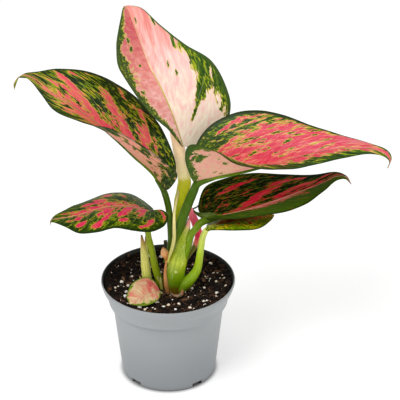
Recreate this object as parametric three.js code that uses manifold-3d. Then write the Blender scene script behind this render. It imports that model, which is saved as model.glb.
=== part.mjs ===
import * as THREE from 'three';
import { mergeVertices } from 'three/addons/utils/BufferGeometryUtils.js';
import Module from 'manifold-3d';

const wasm = await Module();
wasm.setup();

// A Chinese evergreen with pink leaves in a plastic nursery pot, in millimetres.
// The origin is the middle of the pot's foot on the ground. +X is to the right of the front view,
// +Y goes away from the viewer and +Z is up.

// Pot
const potHeight = 94;
const rimRadius = 60;
const footRadius = 41.2;
const collarFoot = 73; // height of the collar's lower edge
const wall = 1.4;
const innerRise = 1.3; // how much higher the inside of each step is, which keeps the wall thick there
const floorTop = 5.4;
const channel = { inner: 13, outer: 34, depth: 3.4 }; // ring under the floor that water leaves by
const drainHoles = { count: 8, radius: 2.6, circle: 25 };
const notches = { width: 10.6, height: 4.6, degrees: [52, 133, 227, 308] }; // slots in the foot
const potSegments = 40;

// Soil
const soilTop = 86;
const soilRadius = 56.8;
const soilGap = 0.4; // between the soil and the pot's wall
const soilSegments = 32;
const grains = { count: 36, smallest: 1.3, largest: 2.5 };

// Plant
const leastShareKept = 0.97; // of a piece's volume, once its loose chips are dropped
const gap = 0.3; // between pieces that grow against each other
const bladeThickness = 0.8;
const bladeRow = 7.5; // length of midrib to a row of the blade's mesh
const bladeColumns = 3; // from the midrib to one edge
const edgeLead = 0.8; // below 1 the side veins sweep forward from the midrib
const stalkStep = 8; // length of a stalk to a step of its mesh

const colours = {
  pot: 0xa7acaf,
  soil: 0x2a1c14,
  stem: 0x8fb53a,
  petiole: 0x3f6b22,
  pale: 0xc9c98a,
  tan: 0xb98a4e,
  pink: 0xe9a79a,
  coral: 0xc9505a,
  darkLeaf: 0x27421c,
  youngLeaf: 0xcf3f62,
};

function vector(point) {
  return new THREE.Vector3(...point);
}

function curveThrough(points) {
  return new THREE.CatmullRomCurve3(points.map(vector), false, 'catmullrom');
}

// Reads a list of values that are spread evenly over a length, at a share from 0 to 1.
function valueAt(values, share) {
  const place = share * (values.length - 1);
  const low = Math.min(Math.floor(place), values.length - 2);
  return THREE.MathUtils.lerp(values[low], values[low + 1], place - low);
}

function toSolid(geometry) {
  const bare = geometry.clone();
  bare.deleteAttribute('normal');
  bare.deleteAttribute('uv');
  const merged = mergeVertices(bare, 1e-4);
  return new wasm.Manifold(new wasm.Mesh({
    numProp: 3,
    vertProperties: new Float32Array(merged.attributes.position.array),
    triVerts: new Uint32Array(merged.index.array),
  }));
}

function largestBody(name, solid) {
  const bodies = solid.decompose();
  const largest = bodies.reduce((best, body) => (body.volume() > best.volume() ? body : best));
  if (largest.volume() < leastShareKept * solid.volume()) {
    throw new Error(`${name} has come apart`);
  }
  return largest;
}

function addPiece(name, solid, colour, roughness) {
  const { vertProperties, triVerts } = largestBody(name, solid).getMesh();
  const geometry = new THREE.BufferGeometry();
  geometry.setAttribute('position', new THREE.BufferAttribute(vertProperties, 3));
  geometry.setIndex(new THREE.BufferAttribute(triVerts, 1));
  geometry.computeVertexNormals();
  const material = new THREE.MeshStandardMaterial({ color: colour, roughness, metalness: 0 });
  const mesh = new THREE.Mesh(geometry, material);
  mesh.name = name;
  plant.add(mesh);
}

const plant = new THREE.Group();

// Pot: a tapered body, a collar with a sharp lower edge and a rim that flares out.
// Both profiles go up from the floor, as [radius, height].
const outerWall = [
  [footRadius, 0],
  [42.3, 1.4],
  [43, 6],
  [48.8, 60],
  [50.2, collarFoot - 1.2],
  [53.4, collarFoot],
  [54.3, 78],
  [55.7, 82],
  [58.2, 86.5],
  [rimRadius, potHeight - 1.4],
];
const innerWall = [
  [footRadius - 1.5 * wall, floorTop],
  ...outerWall.slice(2).map(([r, z]) => [r - wall, z + innerRise]),
];

function lathe(profile, segments) {
  const points = profile.map(([r, z]) => new THREE.Vector2(r, z));
  return new THREE.LatheGeometry(points, segments).rotateX(Math.PI / 2);
}

function makePot() {
  const profile = [
    [0, 0],
    [channel.inner, 0],
    [channel.inner + 0.6, channel.depth],
    [channel.outer - 0.6, channel.depth],
    [channel.outer, 0],
    ...outerWall,
    [rimRadius - 0.4, potHeight],
    [rimRadius - wall + 0.4, potHeight],
    ...innerWall.toReversed(),
    [0, floorTop],
  ];
  let pot = toSolid(lathe(profile, potSegments));
  for (let i = 0; i < drainHoles.count; i++) {
    const angle = ((i + 0.5) / drainHoles.count) * 2 * Math.PI;
    const hole = new THREE.CylinderGeometry(drainHoles.radius, drainHoles.radius, 3 * floorTop, 12);
    hole.rotateX(Math.PI / 2);
    hole.translate(drainHoles.circle * Math.cos(angle), drainHoles.circle * Math.sin(angle), 0);
    pot = pot.subtract(toSolid(hole));
  }
  for (const degrees of notches.degrees) {
    const slotLength = 2 * (footRadius - channel.outer) + 4;
    const slot = new THREE.BoxGeometry(slotLength, notches.width, 2 * notches.height);
    slot.translate(footRadius, 0, 0);
    slot.rotateZ(THREE.MathUtils.degToRad(degrees));
    pot = pot.subtract(toSolid(slot));
  }
  addPiece('pot', pot, colours.pot, 0.5);
}

// Stalks: round tubes along a curve, with radii spread evenly from the first point to the last.
function stalk({ points, radii }, extra = 0) {
  const path = curveThrough(points);
  const steps = Math.round(path.getLength() / stalkStep) + 2;
  const sides = Math.max(...radii) > 5 ? 12 : 8;
  const frames = path.computeFrenetFrames(steps, false);
  const geometry = new THREE.CylinderGeometry(1, 1, 1, sides, steps);
  const position = geometry.attributes.position;
  const spot = new THREE.Vector3();
  for (let i = 0; i < position.count; i++) {
    spot.fromBufferAttribute(position, i);
    const row = Math.round((spot.y + 0.5) * steps);
    const share = row / steps;
    const radius = valueAt(radii, share) + extra;
    const { x, z } = spot;
    spot.copy(path.getPointAt(share));
    spot.addScaledVector(frames.normals[row], x * radius);
    spot.addScaledVector(frames.binormals[row], -z * radius);
    spot.addScaledVector(frames.tangents[row], row === 0 ? -extra : 0);
    spot.addScaledVector(frames.tangents[row], row === steps ? extra : 0);
    position.setXYZ(i, spot.x, spot.y, spot.z);
  }
  return toSolid(geometry);
}

// Blades: each half lies between the midrib and its own edge, and arches a little in between.
// Left and right are as seen from above the blade with the tip pointing away.
function halfGrid(leaf, side) {
  const rib = curveThrough(leaf.rib);
  const edge = curveThrough(leaf[side]);
  const turn = side === 'right' ? 1 : -1;
  const rows = Math.max(12, Math.round(rib.getLength() / bladeRow));
  const grid = [];
  for (let i = 0; i <= rows; i++) {
    const share = (i / rows) ** 1.15;
    const start = rib.getPointAt(share);
    const across = edge.getPointAt(share ** edgeLead).sub(start);
    const up = across.clone().cross(rib.getTangentAt(share)).setLength(turn);
    const row = [];
    for (let j = 0; j <= bladeColumns; j++) {
      const v = j / bladeColumns;
      const rise = valueAt(leaf.arch[side], share) * across.length() * 4 * v * (1 - v);
      row.push(start.clone().addScaledVector(across, v).addScaledVector(up, rise));
    }
    grid.push(row);
  }
  return grid;
}

function blade(leaf) {
  const right = halfGrid(leaf, 'right');
  const left = halfGrid(leaf, 'left');
  const middle = right.map((row, i) => [...left[i].slice(1).reverse(), ...row]);
  const rows = middle.length;
  const columns = middle[0].length;
  const vertices = [];
  const index = [];
  const place = (face, i, j) => face * rows * columns + i * columns + j;
  for (const offset of [bladeThickness / 2, -bladeThickness / 2]) {
    for (let i = 0; i < rows; i++) {
      for (let j = 0; j < columns; j++) {
        const near = Math.min(Math.max(i, 1), rows - 2);
        const along = middle[near + 1][j].clone().sub(middle[near - 1][j]);
        const across = middle[near][Math.min(j + 1, columns - 1)].clone();
        across.sub(middle[near][Math.max(j - 1, 0)]);
        const normal = across.cross(along).normalize();
        vertices.push(...middle[i][j].clone().addScaledVector(normal, offset));
      }
    }
  }
  const quad = (a, b, c, d) => index.push(a, b, c, a, c, d);
  for (let i = 0; i < rows - 1; i++) {
    for (let j = 0; j < columns - 1; j++) {
      quad(place(0, i, j), place(0, i, j + 1), place(0, i + 1, j + 1), place(0, i + 1, j));
      index.push(place(1, i, j), place(1, i + 1, j + 1), place(1, i, j + 1));
      index.push(place(1, i, j), place(1, i + 1, j), place(1, i + 1, j + 1));
    }
    quad(place(1, i, 0), place(0, i, 0), place(0, i + 1, 0), place(1, i + 1, 0));
    const last = columns - 1;
    quad(place(0, i, last), place(1, i, last), place(1, i + 1, last), place(0, i + 1, last));
  }
  for (let j = 0; j < columns - 1; j++) {
    quad(place(0, 0, j), place(1, 0, j), place(1, 0, j + 1), place(0, 0, j + 1));
    const end = rows - 1;
    quad(place(1, end, j), place(0, end, j), place(0, end, j + 1), place(1, end, j + 1));
  }
  const geometry = new THREE.BufferGeometry();
  geometry.setAttribute('position', new THREE.Float32BufferAttribute(vertices, 3));
  geometry.setIndex(index);
  return toSolid(geometry);
}

// The thick stem with the pointed sheath of its next leaf, a bud and a papery scale down its left side.
const stemStalks = [
  {
    points: [
      [6, -10, 76], [6.4, -10, 92], [7, -10, 108], [11, -9, 127], [15, -8, 142], [18, -8, 152],
      [19, -8, 160],
    ],
    radii: [8, 8.3, 8.4, 8, 6, 3.2, 0.6],
  },
  {
    points: [[3, -12, 110], [-1, -11.6, 118], [-2.4, -10.8, 125], [-3.7, -9.8, 131.4]],
    radii: [1.4, 1.6, 3.6, 0.9],
  },
  {
    points: [[0, -14, 119], [-1.8, -14.6, 110], [-1.6, -15, 98], [1, -15, 80]],
    radii: [0.8, 1.4, 1.7, 1.6],
  },
];

// Top leaf: upright, its face to the viewer, its tip bent back. Its stalk has a loose pale edge.
const topLeaf = {
  rib: [
    [14, 6, 222], [5, 8, 252], [-5, 12, 276], [-14, 16, 294], [-21, 20, 312],
    [-28, 25, 330], [-32, 31, 338.6], [-34, 38, 339], [-36, 46, 335], [-36, 52, 326],
  ],
  left: [
    [13, 5, 223], [1, -7, 246], [-13, -16, 265], [-27, -20, 288], [-37.9, -18, 307],
    [-40.4, -10, 322], [-38.2, 6, 336], [-36, 24, 342], [-35.2, 38, 339], [-36.6, 46, 335],
    [-36.6, 52, 326],
  ],
  right: [
    [16, 7, 222], [34, 14, 219], [49, 20, 231], [54.6, 24, 251], [50.6, 26, 271], [37.9, 27, 294],
    [16, 28, 308.5], [-5, 29, 326], [-18.6, 31, 339], [-26.8, 33, 341.4], [-32.6, 38, 339.4],
    [-35.4, 46, 335], [-35.4, 52, 326],
  ],
  arch: { left: [0, -0.04, -0.04, 0, 0], right: [0, 0.06, 0.06, 0.04, 0] },
  stalks: [
    {
      points: [
        [5, 0, 123], [7, 2, 146], [10, 4, 163], [14, 6, 180], [15.6, 7, 189],
        [11.8, 8, 204], [9.6, 9, 220], [8.4, 9.8, 236], [4.4, 10, 252], [-0.6, 11.2, 265],
      ],
      radii: [3, 3.5, 4.4, 5.6, 6.5, 5.2, 5, 3.8, 2.6, 1.2],
    },
    {
      points: [
        [11, 4, 184], [8.6, -1.5, 176], [6.4, -7.5, 166], [6, -12.6, 153.5], [6, -14, 143.7],
        [4.4, -15, 135], [1.8, -15.8, 126], [0.2, -16.2, 119],
      ],
      radii: [1.4, 1.1, 1.1, 1.3, 1.5, 1.6, 1.3, 0.6],
    },
  ],
};

// Left leaf: points up to the left, folded, with a drip tip that hooks down.
const leftLeaf = {
  rib: [
    [-4, -6, 187], [-11.2, -10, 205], [-24.8, -14, 221.2], [-41.2, -19, 241.8], [-59.8, -24, 262.2],
    [-79, -29, 280], [-97, -33, 295], [-110, -36, 308], [-118, -37, 309], [-123, -38, 303],
    [-123, -38, 297],
  ],
  left: [
    [-4, -7, 186], [3, -14, 193], [9, -22, 211], [-5, -38, 234], [-24, -46, 254], [-44, -48, 266],
    [-63, -46, 270],
    [-80, -44, 275], [-92, -41, 281], [-101, -39, 293.5], [-110, -38, 305.5], [-118, -38, 308.4],
    [-123, -38.6, 297],
  ],
  right: [
    [-3, -6, 188], [5, -7, 197], [8, -6, 210], [3, 0, 226], [-8, 7, 246], [-24, 9, 266], [-44, 5, 284],
    [-65, -4, 298], [-87, -16, 306], [-104, -26, 308], [-115, -35, 310], [-122, -37, 304],
    [-123, -37.4, 297],
  ],
  arch: { left: [0, -0.05, -0.1, 0, 0], right: [0, 0.08, 0.08, 0.06, 0] },
  stalks: [
    {
      points: [
        [0, -2, 112], [3, -3, 130], [2.6, -4, 148], [1.2, -5, 168], [-2.6, -5.8, 185],
        [-9, -8.8, 198],
      ],
      radii: [4, 3.2, 2.8, 2.8, 2.9, 1.4],
    },
  ],
};

// Right leaf: the longest, its near half folded up over the base.
const rightLeaf = {
  rib: [
    [24, -10, 196], [41, -13, 203], [64, -16, 210], [90, -19, 219], [115, -22, 228],
    [141, -25, 236], [164, -27, 238], [180, -29, 236.2], [188, -30, 228], [186, -30, 220.4],
  ],
  left: [
    [24, -9, 196], [21, -7, 209], [24, -3, 226], [32, 2, 239], [44, 6, 248], [61, 8, 254.6],
    [80, 7, 256.6],
    [100, 3, 254], [123, -4, 248], [147, -12, 243], [170, -21, 240], [184.4, -27, 237],
    [189.4, -29, 230], [187, -29.4, 220.4],
  ],
  right: [
    [24, -11, 195], [20, -18, 207], [16, -25, 226], [18, -31, 241], [28, -37, 246], [43, -43, 242],
    [58, -47, 234],
    [77, -49, 230], [102, -48, 229], [123, -44, 231], [147, -39, 234.5], [167, -34, 236], [180, -31, 233],
    [187, -31, 228], [186, -30.6, 220.4],
  ],
  arch: { left: [0, 0.08, 0.06, 0.04, 0], right: [0, 0.05, 0, 0, 0] },
  stalks: [
    {
      points: [
        [7, -4, 125], [10, -6, 145], [15, -8, 164], [20, -9, 179], [23.4, -9.6, 188],
        [27.6, -10.6, 196.2], [42, -13, 202],
      ],
      radii: [4, 4.4, 4.6, 4.4, 4.3, 3.4, 1.4],
    },
  ],
};

// Lower right leaf: dark, nearly level.
const lowerRightLeaf = {
  rib: [
    [39, 4, 154], [55, 4, 157], [76, 4, 163], [98, 5, 171], [119, 7, 179],
    [135, 9, 185], [147, 10, 191], [156, 10, 190.6], [160.4, 10, 183.6],
  ],
  left: [
    [38, 5, 155], [28, 14, 153], [27.6, 26, 158], [33.2, 34, 168], [50, 38, 174.2], [75, 38, 179.4],
    [101, 34, 180.6], [125, 26, 184.4], [146, 17, 192], [156, 11, 191.6], [160.8, 10.6, 183.6],
  ],
  right: [
    [39, 3, 154], [34, -6, 158], [44, -20, 166], [63, -30, 172], [81, -34, 177], [102, -32, 180],
    [121, -24, 184], [135.7, -12, 189.4], [146.6, 2, 191.4], [155, 8, 189.6], [160.4, 9.4, 183.6],
  ],
  arch: { left: [0, 0.05, 0.05, 0.05, 0], right: [0, 0.05, 0.05, 0.05, 0] },
  stalks: [
    {
      points: [
        [12, -10.5, 114], [16.2, -11.4, 127.2], [18.8, -11.4, 136], [20.8, -11, 144.7], [24.8, -9, 149.6],
        [31, -3.4, 153.8], [48, 4, 155],
      ],
      radii: [2.6, 3, 3, 3.2, 3.4, 1.8],
    },
    {
      points: [
        [29, 22, 158.4], [25.9, 16, 157.6], [22.2, 12, 157.6], [23.7, 7, 157.8], [28, 2.5, 157.4],
        [34, 1, 156.8], [43, 2.5, 156.4],
      ],
      radii: [0.6, 0.7, 0.7, 1.1, 2.4, 3.4, 2],
    },
  ],
};

// Under leaf: small, just below the lower right one.
const underLeaf = {
  rib: [[34, -6, 150], [48, -7, 153], [63, -8, 157], [79, -9, 160], [93, -10, 163.4]],
  left: [[34, -5, 149], [36, 9, 145], [50, 19, 148], [68, 18, 152], [83, 7, 159], [93, -9.4, 163.8]],
  right: [
    [34, -7, 149], [34, -14, 151], [44, -24, 157], [63, -30, 160], [79, -28, 161], [89, -18, 162.6],
    [93, -10.6, 163.4],
  ],
  arch: { left: [0, 0.05, 0.05, 0, 0], right: [0, 0.05, 0.05, 0, 0] },
  stalks: [
    {
      points: [
        [9, -12, 89], [18, -14, 99], [26, -12, 110], [29, -10, 127], [31, -8, 140], [35, -7, 148],
        [44, -7, 151],
      ],
      radii: [5.6, 5.2, 4, 3.4, 3.2, 2.8, 1.4],
    },
  ],
};

// Lower left leaf: level, on its own stalk from the soil.
const lowerLeftLeaf = {
  rib: [
    [-15, 0, 161], [-27, -2, 167], [-43, -5, 170], [-60, -8, 169], [-77, -12, 165],
    [-91, -16, 164], [-100, -19, 164], [-101, -19, 159],
  ],
  left: [
    [-14, -2, 162], [-5, -4, 166], [0.6, -11, 164], [-2, -25, 162], [-12, -40, 164.8], [-27, -46, 168.8],
    [-43, -45, 171.2], [-58, -46, 168], [-74, -42, 164], [-87, -32, 164.8], [-99, -21, 163],
    [-101.4, -19.6, 159],
  ],
  right: [
    [-14, 2, 160], [-13, 14, 157], [-22, 28, 157], [-34, 36, 160], [-47, 36, 161.4], [-62, 30, 161],
    [-76, 16, 162], [-88, 0, 164], [-98, -14, 165], [-101, -18.4, 159],
  ],
  arch: { left: [0, 0.08, 0.08, 0.08, 0], right: [0, 0.05, 0.05, 0.05, 0] },
  stalks: [
    {
      points: [
        [-7, -4, 77], [-7, -4, 91], [-11, -4, 107], [-14, -3, 125], [-17, -2, 141], [-17, -1, 157],
        [-24, -2, 165],
      ],
      radii: [3.6, 3.6, 3.4, 3, 2.8, 2.8, 1.6],
    },
  ],
};

// Small leaf: a pale oval that lies just over the soil in front.
const smallLeaf = {
  rib: [[-7, -14, 89], [-15, -20, 91], [-23, -28, 91], [-33, -36, 89]],
  left: [[-6.6, -15, 89], [-7, -27, 90], [-12, -37, 91], [-21, -42, 91], [-32.6, -36.6, 89]],
  right: [
    [-7.4, -13, 89.4], [-13, -8, 97], [-22, -8, 99], [-32, -14, 96], [-36, -26, 91],
    [-33.4, -35.4, 89.4],
  ],
  arch: { left: [0, 0.06, 0.06, 0.04, 0], right: [0, 0.06, 0.06, 0.04, 0] },
  stalks: [
    {
      points: [[-4, -17, 77], [-4, -17, 84], [-6.5, -15.5, 88.2], [-14, -20, 90.2]],
      radii: [1.4, 1.4, 1.3, 0.6],
    },
  ],
};

// Young leaf: still rolled, behind the stem.
const youngStalks = [
  {
    points: [
      [15, -3, 112], [22, 3, 121], [26.8, 6, 131], [26.6, 7, 139], [24.2, 7, 148],
      [21.4, 7, 155], [21, 7, 162],
    ],
    radii: [1.2, 1.6, 2.6, 3.1, 3.3, 3.2, 0.7],
  },
];

// Side shoot: a pale rolled sheath with two points.
const shootStalks = [
  {
    points: [[-18.6, 0, 77], [-18.8, 0, 90], [-19.8, 0, 104], [-21, 0, 121], [-23, 0, 138]],
    radii: [4, 4.2, 3.8, 2.8, 0.7],
  },
  { points: [[-19, 0.5, 100], [-19, 1, 118], [-19.4, 1, 136]], radii: [2.6, 2, 0.6] },
];

// Dry scale: the frayed rest of an old leaf stalk between the stem and the lower left stalk.
const scaleStalks = [
  { points: [[-5, -10.6, 77], [-5.4, -10.6, 90], [-6.6, -10.6, 101]], radii: [1.7, 1.6, 0.6] },
  { points: [[-5.6, -10.6, 90], [-8, -10, 97], [-9.4, -9.4, 101]], radii: [1, 0.9, 0.5] },
];

// Back stub: the end of an old stalk near the far rim.
const stubStalks = [{ points: [[-1, 38, 77], [-1.5, 39, 94], [-3, 40, 109]], radii: [2.6, 2.4, 1.7] }];

function union(solids) {
  return solids.reduce((sum, solid) => sum.add(solid));
}

// Grows each piece in turn and cuts it clear of every piece before it.
function growPlant() {
  const pieces = [
    { name: 'main_stem', stalks: stemStalks, colour: colours.stem },
    { name: 'leaf_top', leaf: topLeaf, stalks: topLeaf.stalks, colour: colours.pink },
    { name: 'leaf_right', leaf: rightLeaf, stalks: rightLeaf.stalks, colour: colours.coral },
    { name: 'leaf_left', leaf: leftLeaf, stalks: leftLeaf.stalks, colour: colours.coral },
    { name: 'leaf_under_right', leaf: underLeaf, stalks: underLeaf.stalks, colour: colours.petiole },
    {
      name: 'leaf_lower_right',
      leaf: lowerRightLeaf,
      stalks: lowerRightLeaf.stalks,
      colour: colours.darkLeaf,
    },
    { name: 'leaf_lower_left', leaf: lowerLeftLeaf, stalks: lowerLeftLeaf.stalks, colour: colours.coral },
    { name: 'side_shoot', stalks: shootStalks, colour: colours.pale },
    { name: 'dry_scale', stalks: scaleStalks, colour: colours.tan },
    { name: 'leaf_small', leaf: smallLeaf, stalks: smallLeaf.stalks, colour: colours.pink },
    { name: 'leaf_young', stalks: youngStalks, colour: colours.youngLeaf },
    { name: 'back_stub', stalks: stubStalks, colour: colours.petiole },
  ];
  const taken = [];
  for (const piece of pieces) {
    let solid = union(piece.stalks.map((part) => stalk(part)));
    if (piece.leaf) {
      solid = solid.add(blade(piece.leaf));
    }
    for (const room of taken) {
      solid = solid.subtract(room);
    }
    taken.push(union(piece.stalks.map((part) => stalk(part, gap))));
    addPiece(piece.name, solid, piece.colour, 0.45);
  }
  return taken;
}

// Soil: uneven on top, heaped at the back left and round the stem, banked up to the wall,
// with grains half sunk in it.
function soilHeight(x, y) {
  const heap = 4 * Math.exp(-((x + 44) ** 2 + (y - 24) ** 2) / 160);
  const mound = 1.2 * Math.exp(-((x - 4) ** 2 + (y + 8) ** 2) / 300);
  const ripple = 0.5 * Math.sin(0.31 * x + 1) * Math.cos(0.27 * y) + 0.35 * Math.sin(0.19 * (x + y));
  const bank = 5.2 * (Math.hypot(x, y) / soilRadius) ** 6;
  return heap + mound + ripple + bank;
}

function seededRandom(seed) {
  let state = seed;
  return () => {
    state = (state * 1664525 + 1013904223) % 4294967296;
    return state / 4294967296;
  };
}

function makeSoil(rooms) {
  const random = seededRandom(7);
  const side = innerWall.filter(([, z]) => z < soilTop).map(([r, z]) => [r - soilGap, z + soilGap]);
  const rings = [1, 0.9, 0.79, 0.67, 0.54, 0.4, 0.25, 0.1, 0];
  const top = rings.map((share) => [soilRadius * share, soilTop]);
  const profile = [[0, floorTop + soilGap], ...side, ...top];
  const body = lathe(profile, soilSegments);
  const position = body.attributes.position;
  for (let i = 0; i < position.count; i++) {
    if (position.getZ(i) > soilTop - 0.01) {
      position.setZ(i, soilTop + soilHeight(position.getX(i), position.getY(i)));
    }
  }
  let soil = toSolid(body);
  for (let i = 0; i < grains.count; i++) {
    const radius = THREE.MathUtils.lerp(grains.smallest, grains.largest, random() ** 1.5);
    const angle = random() * 2 * Math.PI;
    const reach = 53 * Math.sqrt(random());
    const x = reach * Math.cos(angle);
    const y = reach * Math.sin(angle);
    const grain = new THREE.IcosahedronGeometry(radius, 0);
    grain.scale(1 + 0.4 * random(), 1, 0.8);
    grain.rotateX(6 * random());
    grain.rotateZ(6 * random());
    grain.translate(x, y, soilTop + soilHeight(x, y) + 0.1 * radius);
    soil = soil.add(toSolid(grain));
  }
  for (const room of rooms) {
    soil = soil.subtract(room);
  }
  addPiece('soil', soil, colours.soil, 0.95);
}

makePot();
makeSoil(growPlant());

export default plant;
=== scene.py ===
import math
import random

import bmesh
import bpy
import numpy as np
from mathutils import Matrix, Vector, noise


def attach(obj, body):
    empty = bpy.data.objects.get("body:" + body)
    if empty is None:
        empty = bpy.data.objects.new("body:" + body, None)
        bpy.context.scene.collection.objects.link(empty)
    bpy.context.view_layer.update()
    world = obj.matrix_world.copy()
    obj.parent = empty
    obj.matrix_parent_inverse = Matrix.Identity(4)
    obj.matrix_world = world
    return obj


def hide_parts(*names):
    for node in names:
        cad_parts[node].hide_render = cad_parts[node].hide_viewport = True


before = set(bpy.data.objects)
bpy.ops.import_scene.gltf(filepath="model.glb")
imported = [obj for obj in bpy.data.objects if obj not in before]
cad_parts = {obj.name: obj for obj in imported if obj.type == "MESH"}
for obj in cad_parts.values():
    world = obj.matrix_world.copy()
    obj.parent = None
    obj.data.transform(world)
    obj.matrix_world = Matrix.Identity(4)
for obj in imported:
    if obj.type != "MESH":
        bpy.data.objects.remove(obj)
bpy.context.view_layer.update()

# A potted Chinese evergreen. Lists of points, radii and lengths are in millimetres, in the frame of the CAD.
mm = 0.001
edgeLead = 0.8  # below 1 the side veins sweep forward from the midrib, as in the CAD
fullTurn = 2 * math.pi
print("frame loaded:", len(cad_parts), "nodes")


# curves and meshes

def along(points, shares):
    # a smooth curve through the points, read at shares of its length
    p = np.array(points, float)
    p = np.vstack([2 * p[0] - p[1], p, 2 * p[-1] - p[-2]])
    t = np.linspace(0, 1, 40, endpoint=False)[:, None]
    spans = [
        0.5 * (2 * b + (c - a) * t + (2 * a - 5 * b + 4 * c - d) * t ** 2 + (3 * b - a - 3 * c + d) * t ** 3)
        for a, b, c, d in zip(p, p[1:], p[2:], p[3:])
    ]
    dense = np.vstack([*spans, p[-2:-1]])
    run = np.concatenate([[0], np.cumsum(np.linalg.norm(np.diff(dense, axis=0), axis=1))])
    where = np.clip(shares, 0, 1) * run[-1]
    return np.stack([np.interp(where, run, dense[:, k]) for k in range(3)], -1), run[-1]


def spread(values, shares):
    # a list of values spread evenly from share 0 to share 1
    return np.interp(shares, np.linspace(0, 1, len(values)), values)


def unit(vectors):
    return vectors / np.maximum(np.linalg.norm(vectors, axis=-1, keepdims=True), 1e-9)


def wobble(points, size, seed=0.0):
    # smooth noise from -1 to 1 at each point
    flat = points.reshape(-1, 3) / size
    found = [noise.noise(Vector((x + seed, y - seed, z + seed))) for x, y, z in flat]
    return np.array(found).reshape(points.shape[:-1])


def gridFaces(rows, columns, start=0, flip=False, closed=False):
    i, j = np.meshgrid(np.arange(rows - 1), np.arange(columns if closed else columns - 1), indexing="ij")
    k = (j + 1) % columns
    quads = np.stack([i * columns + j, i * columns + k, (i + 1) * columns + k, (i + 1) * columns + j], -1)
    quads = quads.reshape(-1, 4) + start
    return (quads[:, ::-1] if flip else quads).tolist()


def makePiece(name, parts, materials, replaced=()):
    # joins the parts into one object: each has points, faces, and may have values and a material number
    points = np.vstack([part["points"] for part in parts]) * mm
    faces, numbers, start = [], [], 0
    keys = sorted({key for part in parts for key in part.get("values", {})})
    values = {key: np.zeros(len(points), np.float32) for key in keys}
    for part in parts:
        faces += [[i + start for i in face] for face in part["faces"]]
        numbers += [part.get("material", 0)] * len(part["faces"])
        for key, value in part.get("values", {}).items():
            values[key][start:start + len(part["points"])] = value
        start += len(part["points"])
    mesh = bpy.data.meshes.new(name)
    mesh.from_pydata(points.tolist(), [], faces)
    mesh.polygons.foreach_set("use_smooth", [True] * len(faces))
    mesh.polygons.foreach_set("material_index", numbers)
    for key in keys:
        mesh.attributes.new(key, "FLOAT", "POINT").data.foreach_set("value", values[key])
    for material in materials:
        mesh.materials.append(material)
    mesh.validate()
    mesh.update()
    piece = bpy.data.objects.new(name, mesh)
    bpy.context.scene.collection.objects.link(piece)
    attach(piece, "root")
    if replaced:
        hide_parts(*replaced)
    print(name, len(faces), "faces")
    return piece


def tube(points, radii, sides=20, step=1.6, flat=1.0, flatWay=(0, 1, 0), groove=0.0, lumps=0.03, roll=0.0,
    material=0, seed=0.0):
    # a stalk, strip or bud: flat squashes it along flatWay, groove presses a channel into one side,
    # roll makes it a rolled sheet whose edge stands out
    length = along(points, [0])[1]
    rows = max(6, round(length / step)) + 1
    share = np.linspace(0, 1, rows)
    centre, _ = along(points, share)
    way = unit(np.gradient(centre, axis=0))
    side = unit(np.array(flatWay, float) - (way @ np.array(flatWay, float))[:, None] * way)
    other = np.cross(way, side)
    turn = np.arange(sides) / sides
    radius = spread(radii, share)[:, None] * np.ones(sides)
    grooveAt, grooveWide = 0.75, 0.11
    apart = np.abs((turn - grooveAt + 0.5) % 1 - 0.5)
    depth = np.interp(share, [0, 0.2, 0.35, 0.6, 0.8, 1], [0, 0, 0.6, 1, 1, 0])
    radius = radius * (1 - groove * depth[:, None] * np.exp(-(apart / grooveWide) ** 2))
    rolled = roll * spread([0, 0.4, 1, 1, 1, 1], share)[:, None]
    radius = radius * (1 + rolled * ((turn - 0.1 - 0.25 * share[:, None]) % 1))
    x, y = np.cos(fullTurn * turn), np.sin(fullTurn * turn)
    ring = side[:, None] * (x * flat)[None, :, None] + other[:, None] * y[None, :, None]
    made = centre[:, None] + ring * radius[..., None]
    made = made + ring * (radius * lumps * wobble(made, 7.0, seed))[..., None]
    ends = len(made.reshape(-1, 3))
    faces = gridFaces(rows, sides, closed=True)
    faces += [[(j + 1) % sides, j, ends] for j in range(sides)]
    last = (rows - 1) * sides
    faces += [[last + j, last + (j + 1) % sides, ends + 1] for j in range(sides)]
    every = np.vstack([made.reshape(-1, 3), centre[:1], centre[-1:]])
    full = lambda grid: np.concatenate([np.broadcast_to(grid, (rows, sides)).reshape(-1),
        [grid[0, 0], grid[-1, 0]]])
    values = {
        "share": full(share[:, None]),
        "ringX": full(x[None, :] * radius),
        "ringY": full(y[None, :] * radius),
        "lengthRun": full(share[:, None] * length),
    }
    return {"points": every, "faces": faces, "values": values, "material": material}


# materials

def paint(red, green, blue):
    # a colour as it looks on screen, from 0 to 255
    return [*[c / 3294.6 if c <= 10 else ((c / 255 + 0.055) / 1.055) ** 2.4 for c in (red, green, blue)], 1]


def add(tree, kind, inputs=None, **settings):
    made = tree.nodes.new(kind)
    for key, value in settings.items():
        setattr(made, key, value)
    for key, value in (inputs or {}).items():
        if isinstance(value, bpy.types.NodeSocket):
            tree.links.new(value, made.inputs[key])
        else:
            made.inputs[key].default_value = value
    return made


def read(tree, name):
    return add(tree, "ShaderNodeAttribute", attribute_name=name).outputs["Fac"]


def calc(tree, operation, first, second=0.0, third=0.0):
    return add(tree, "ShaderNodeMath", {0: first, 1: second, 2: third}, operation=operation).outputs[0]


def plus(tree, first, second):
    return calc(tree, "ADD", first, second)


def times(tree, first, second):
    return calc(tree, "MULTIPLY", first, second)


def radiusOf(tree, place):
    # how far a point is from the pot's axis
    return calc(tree, "SQRT", plus(tree, times(tree, place[0], place[0]), times(tree, place[1], place[1])))


def objectPlace(tree):
    return add(tree, "ShaderNodeSeparateXYZ", {0: add(tree, "ShaderNodeTexCoord").outputs["Object"]}).outputs


def fade(tree, value, low, high, to=(0.0, 1.0)):
    inputs = {"Value": value, "From Min": low, "From Max": high, "To Min": to[0], "To Max": to[1]}
    return add(tree, "ShaderNodeMapRange", inputs, interpolation_type="SMOOTHSTEP").outputs[0]


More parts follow.
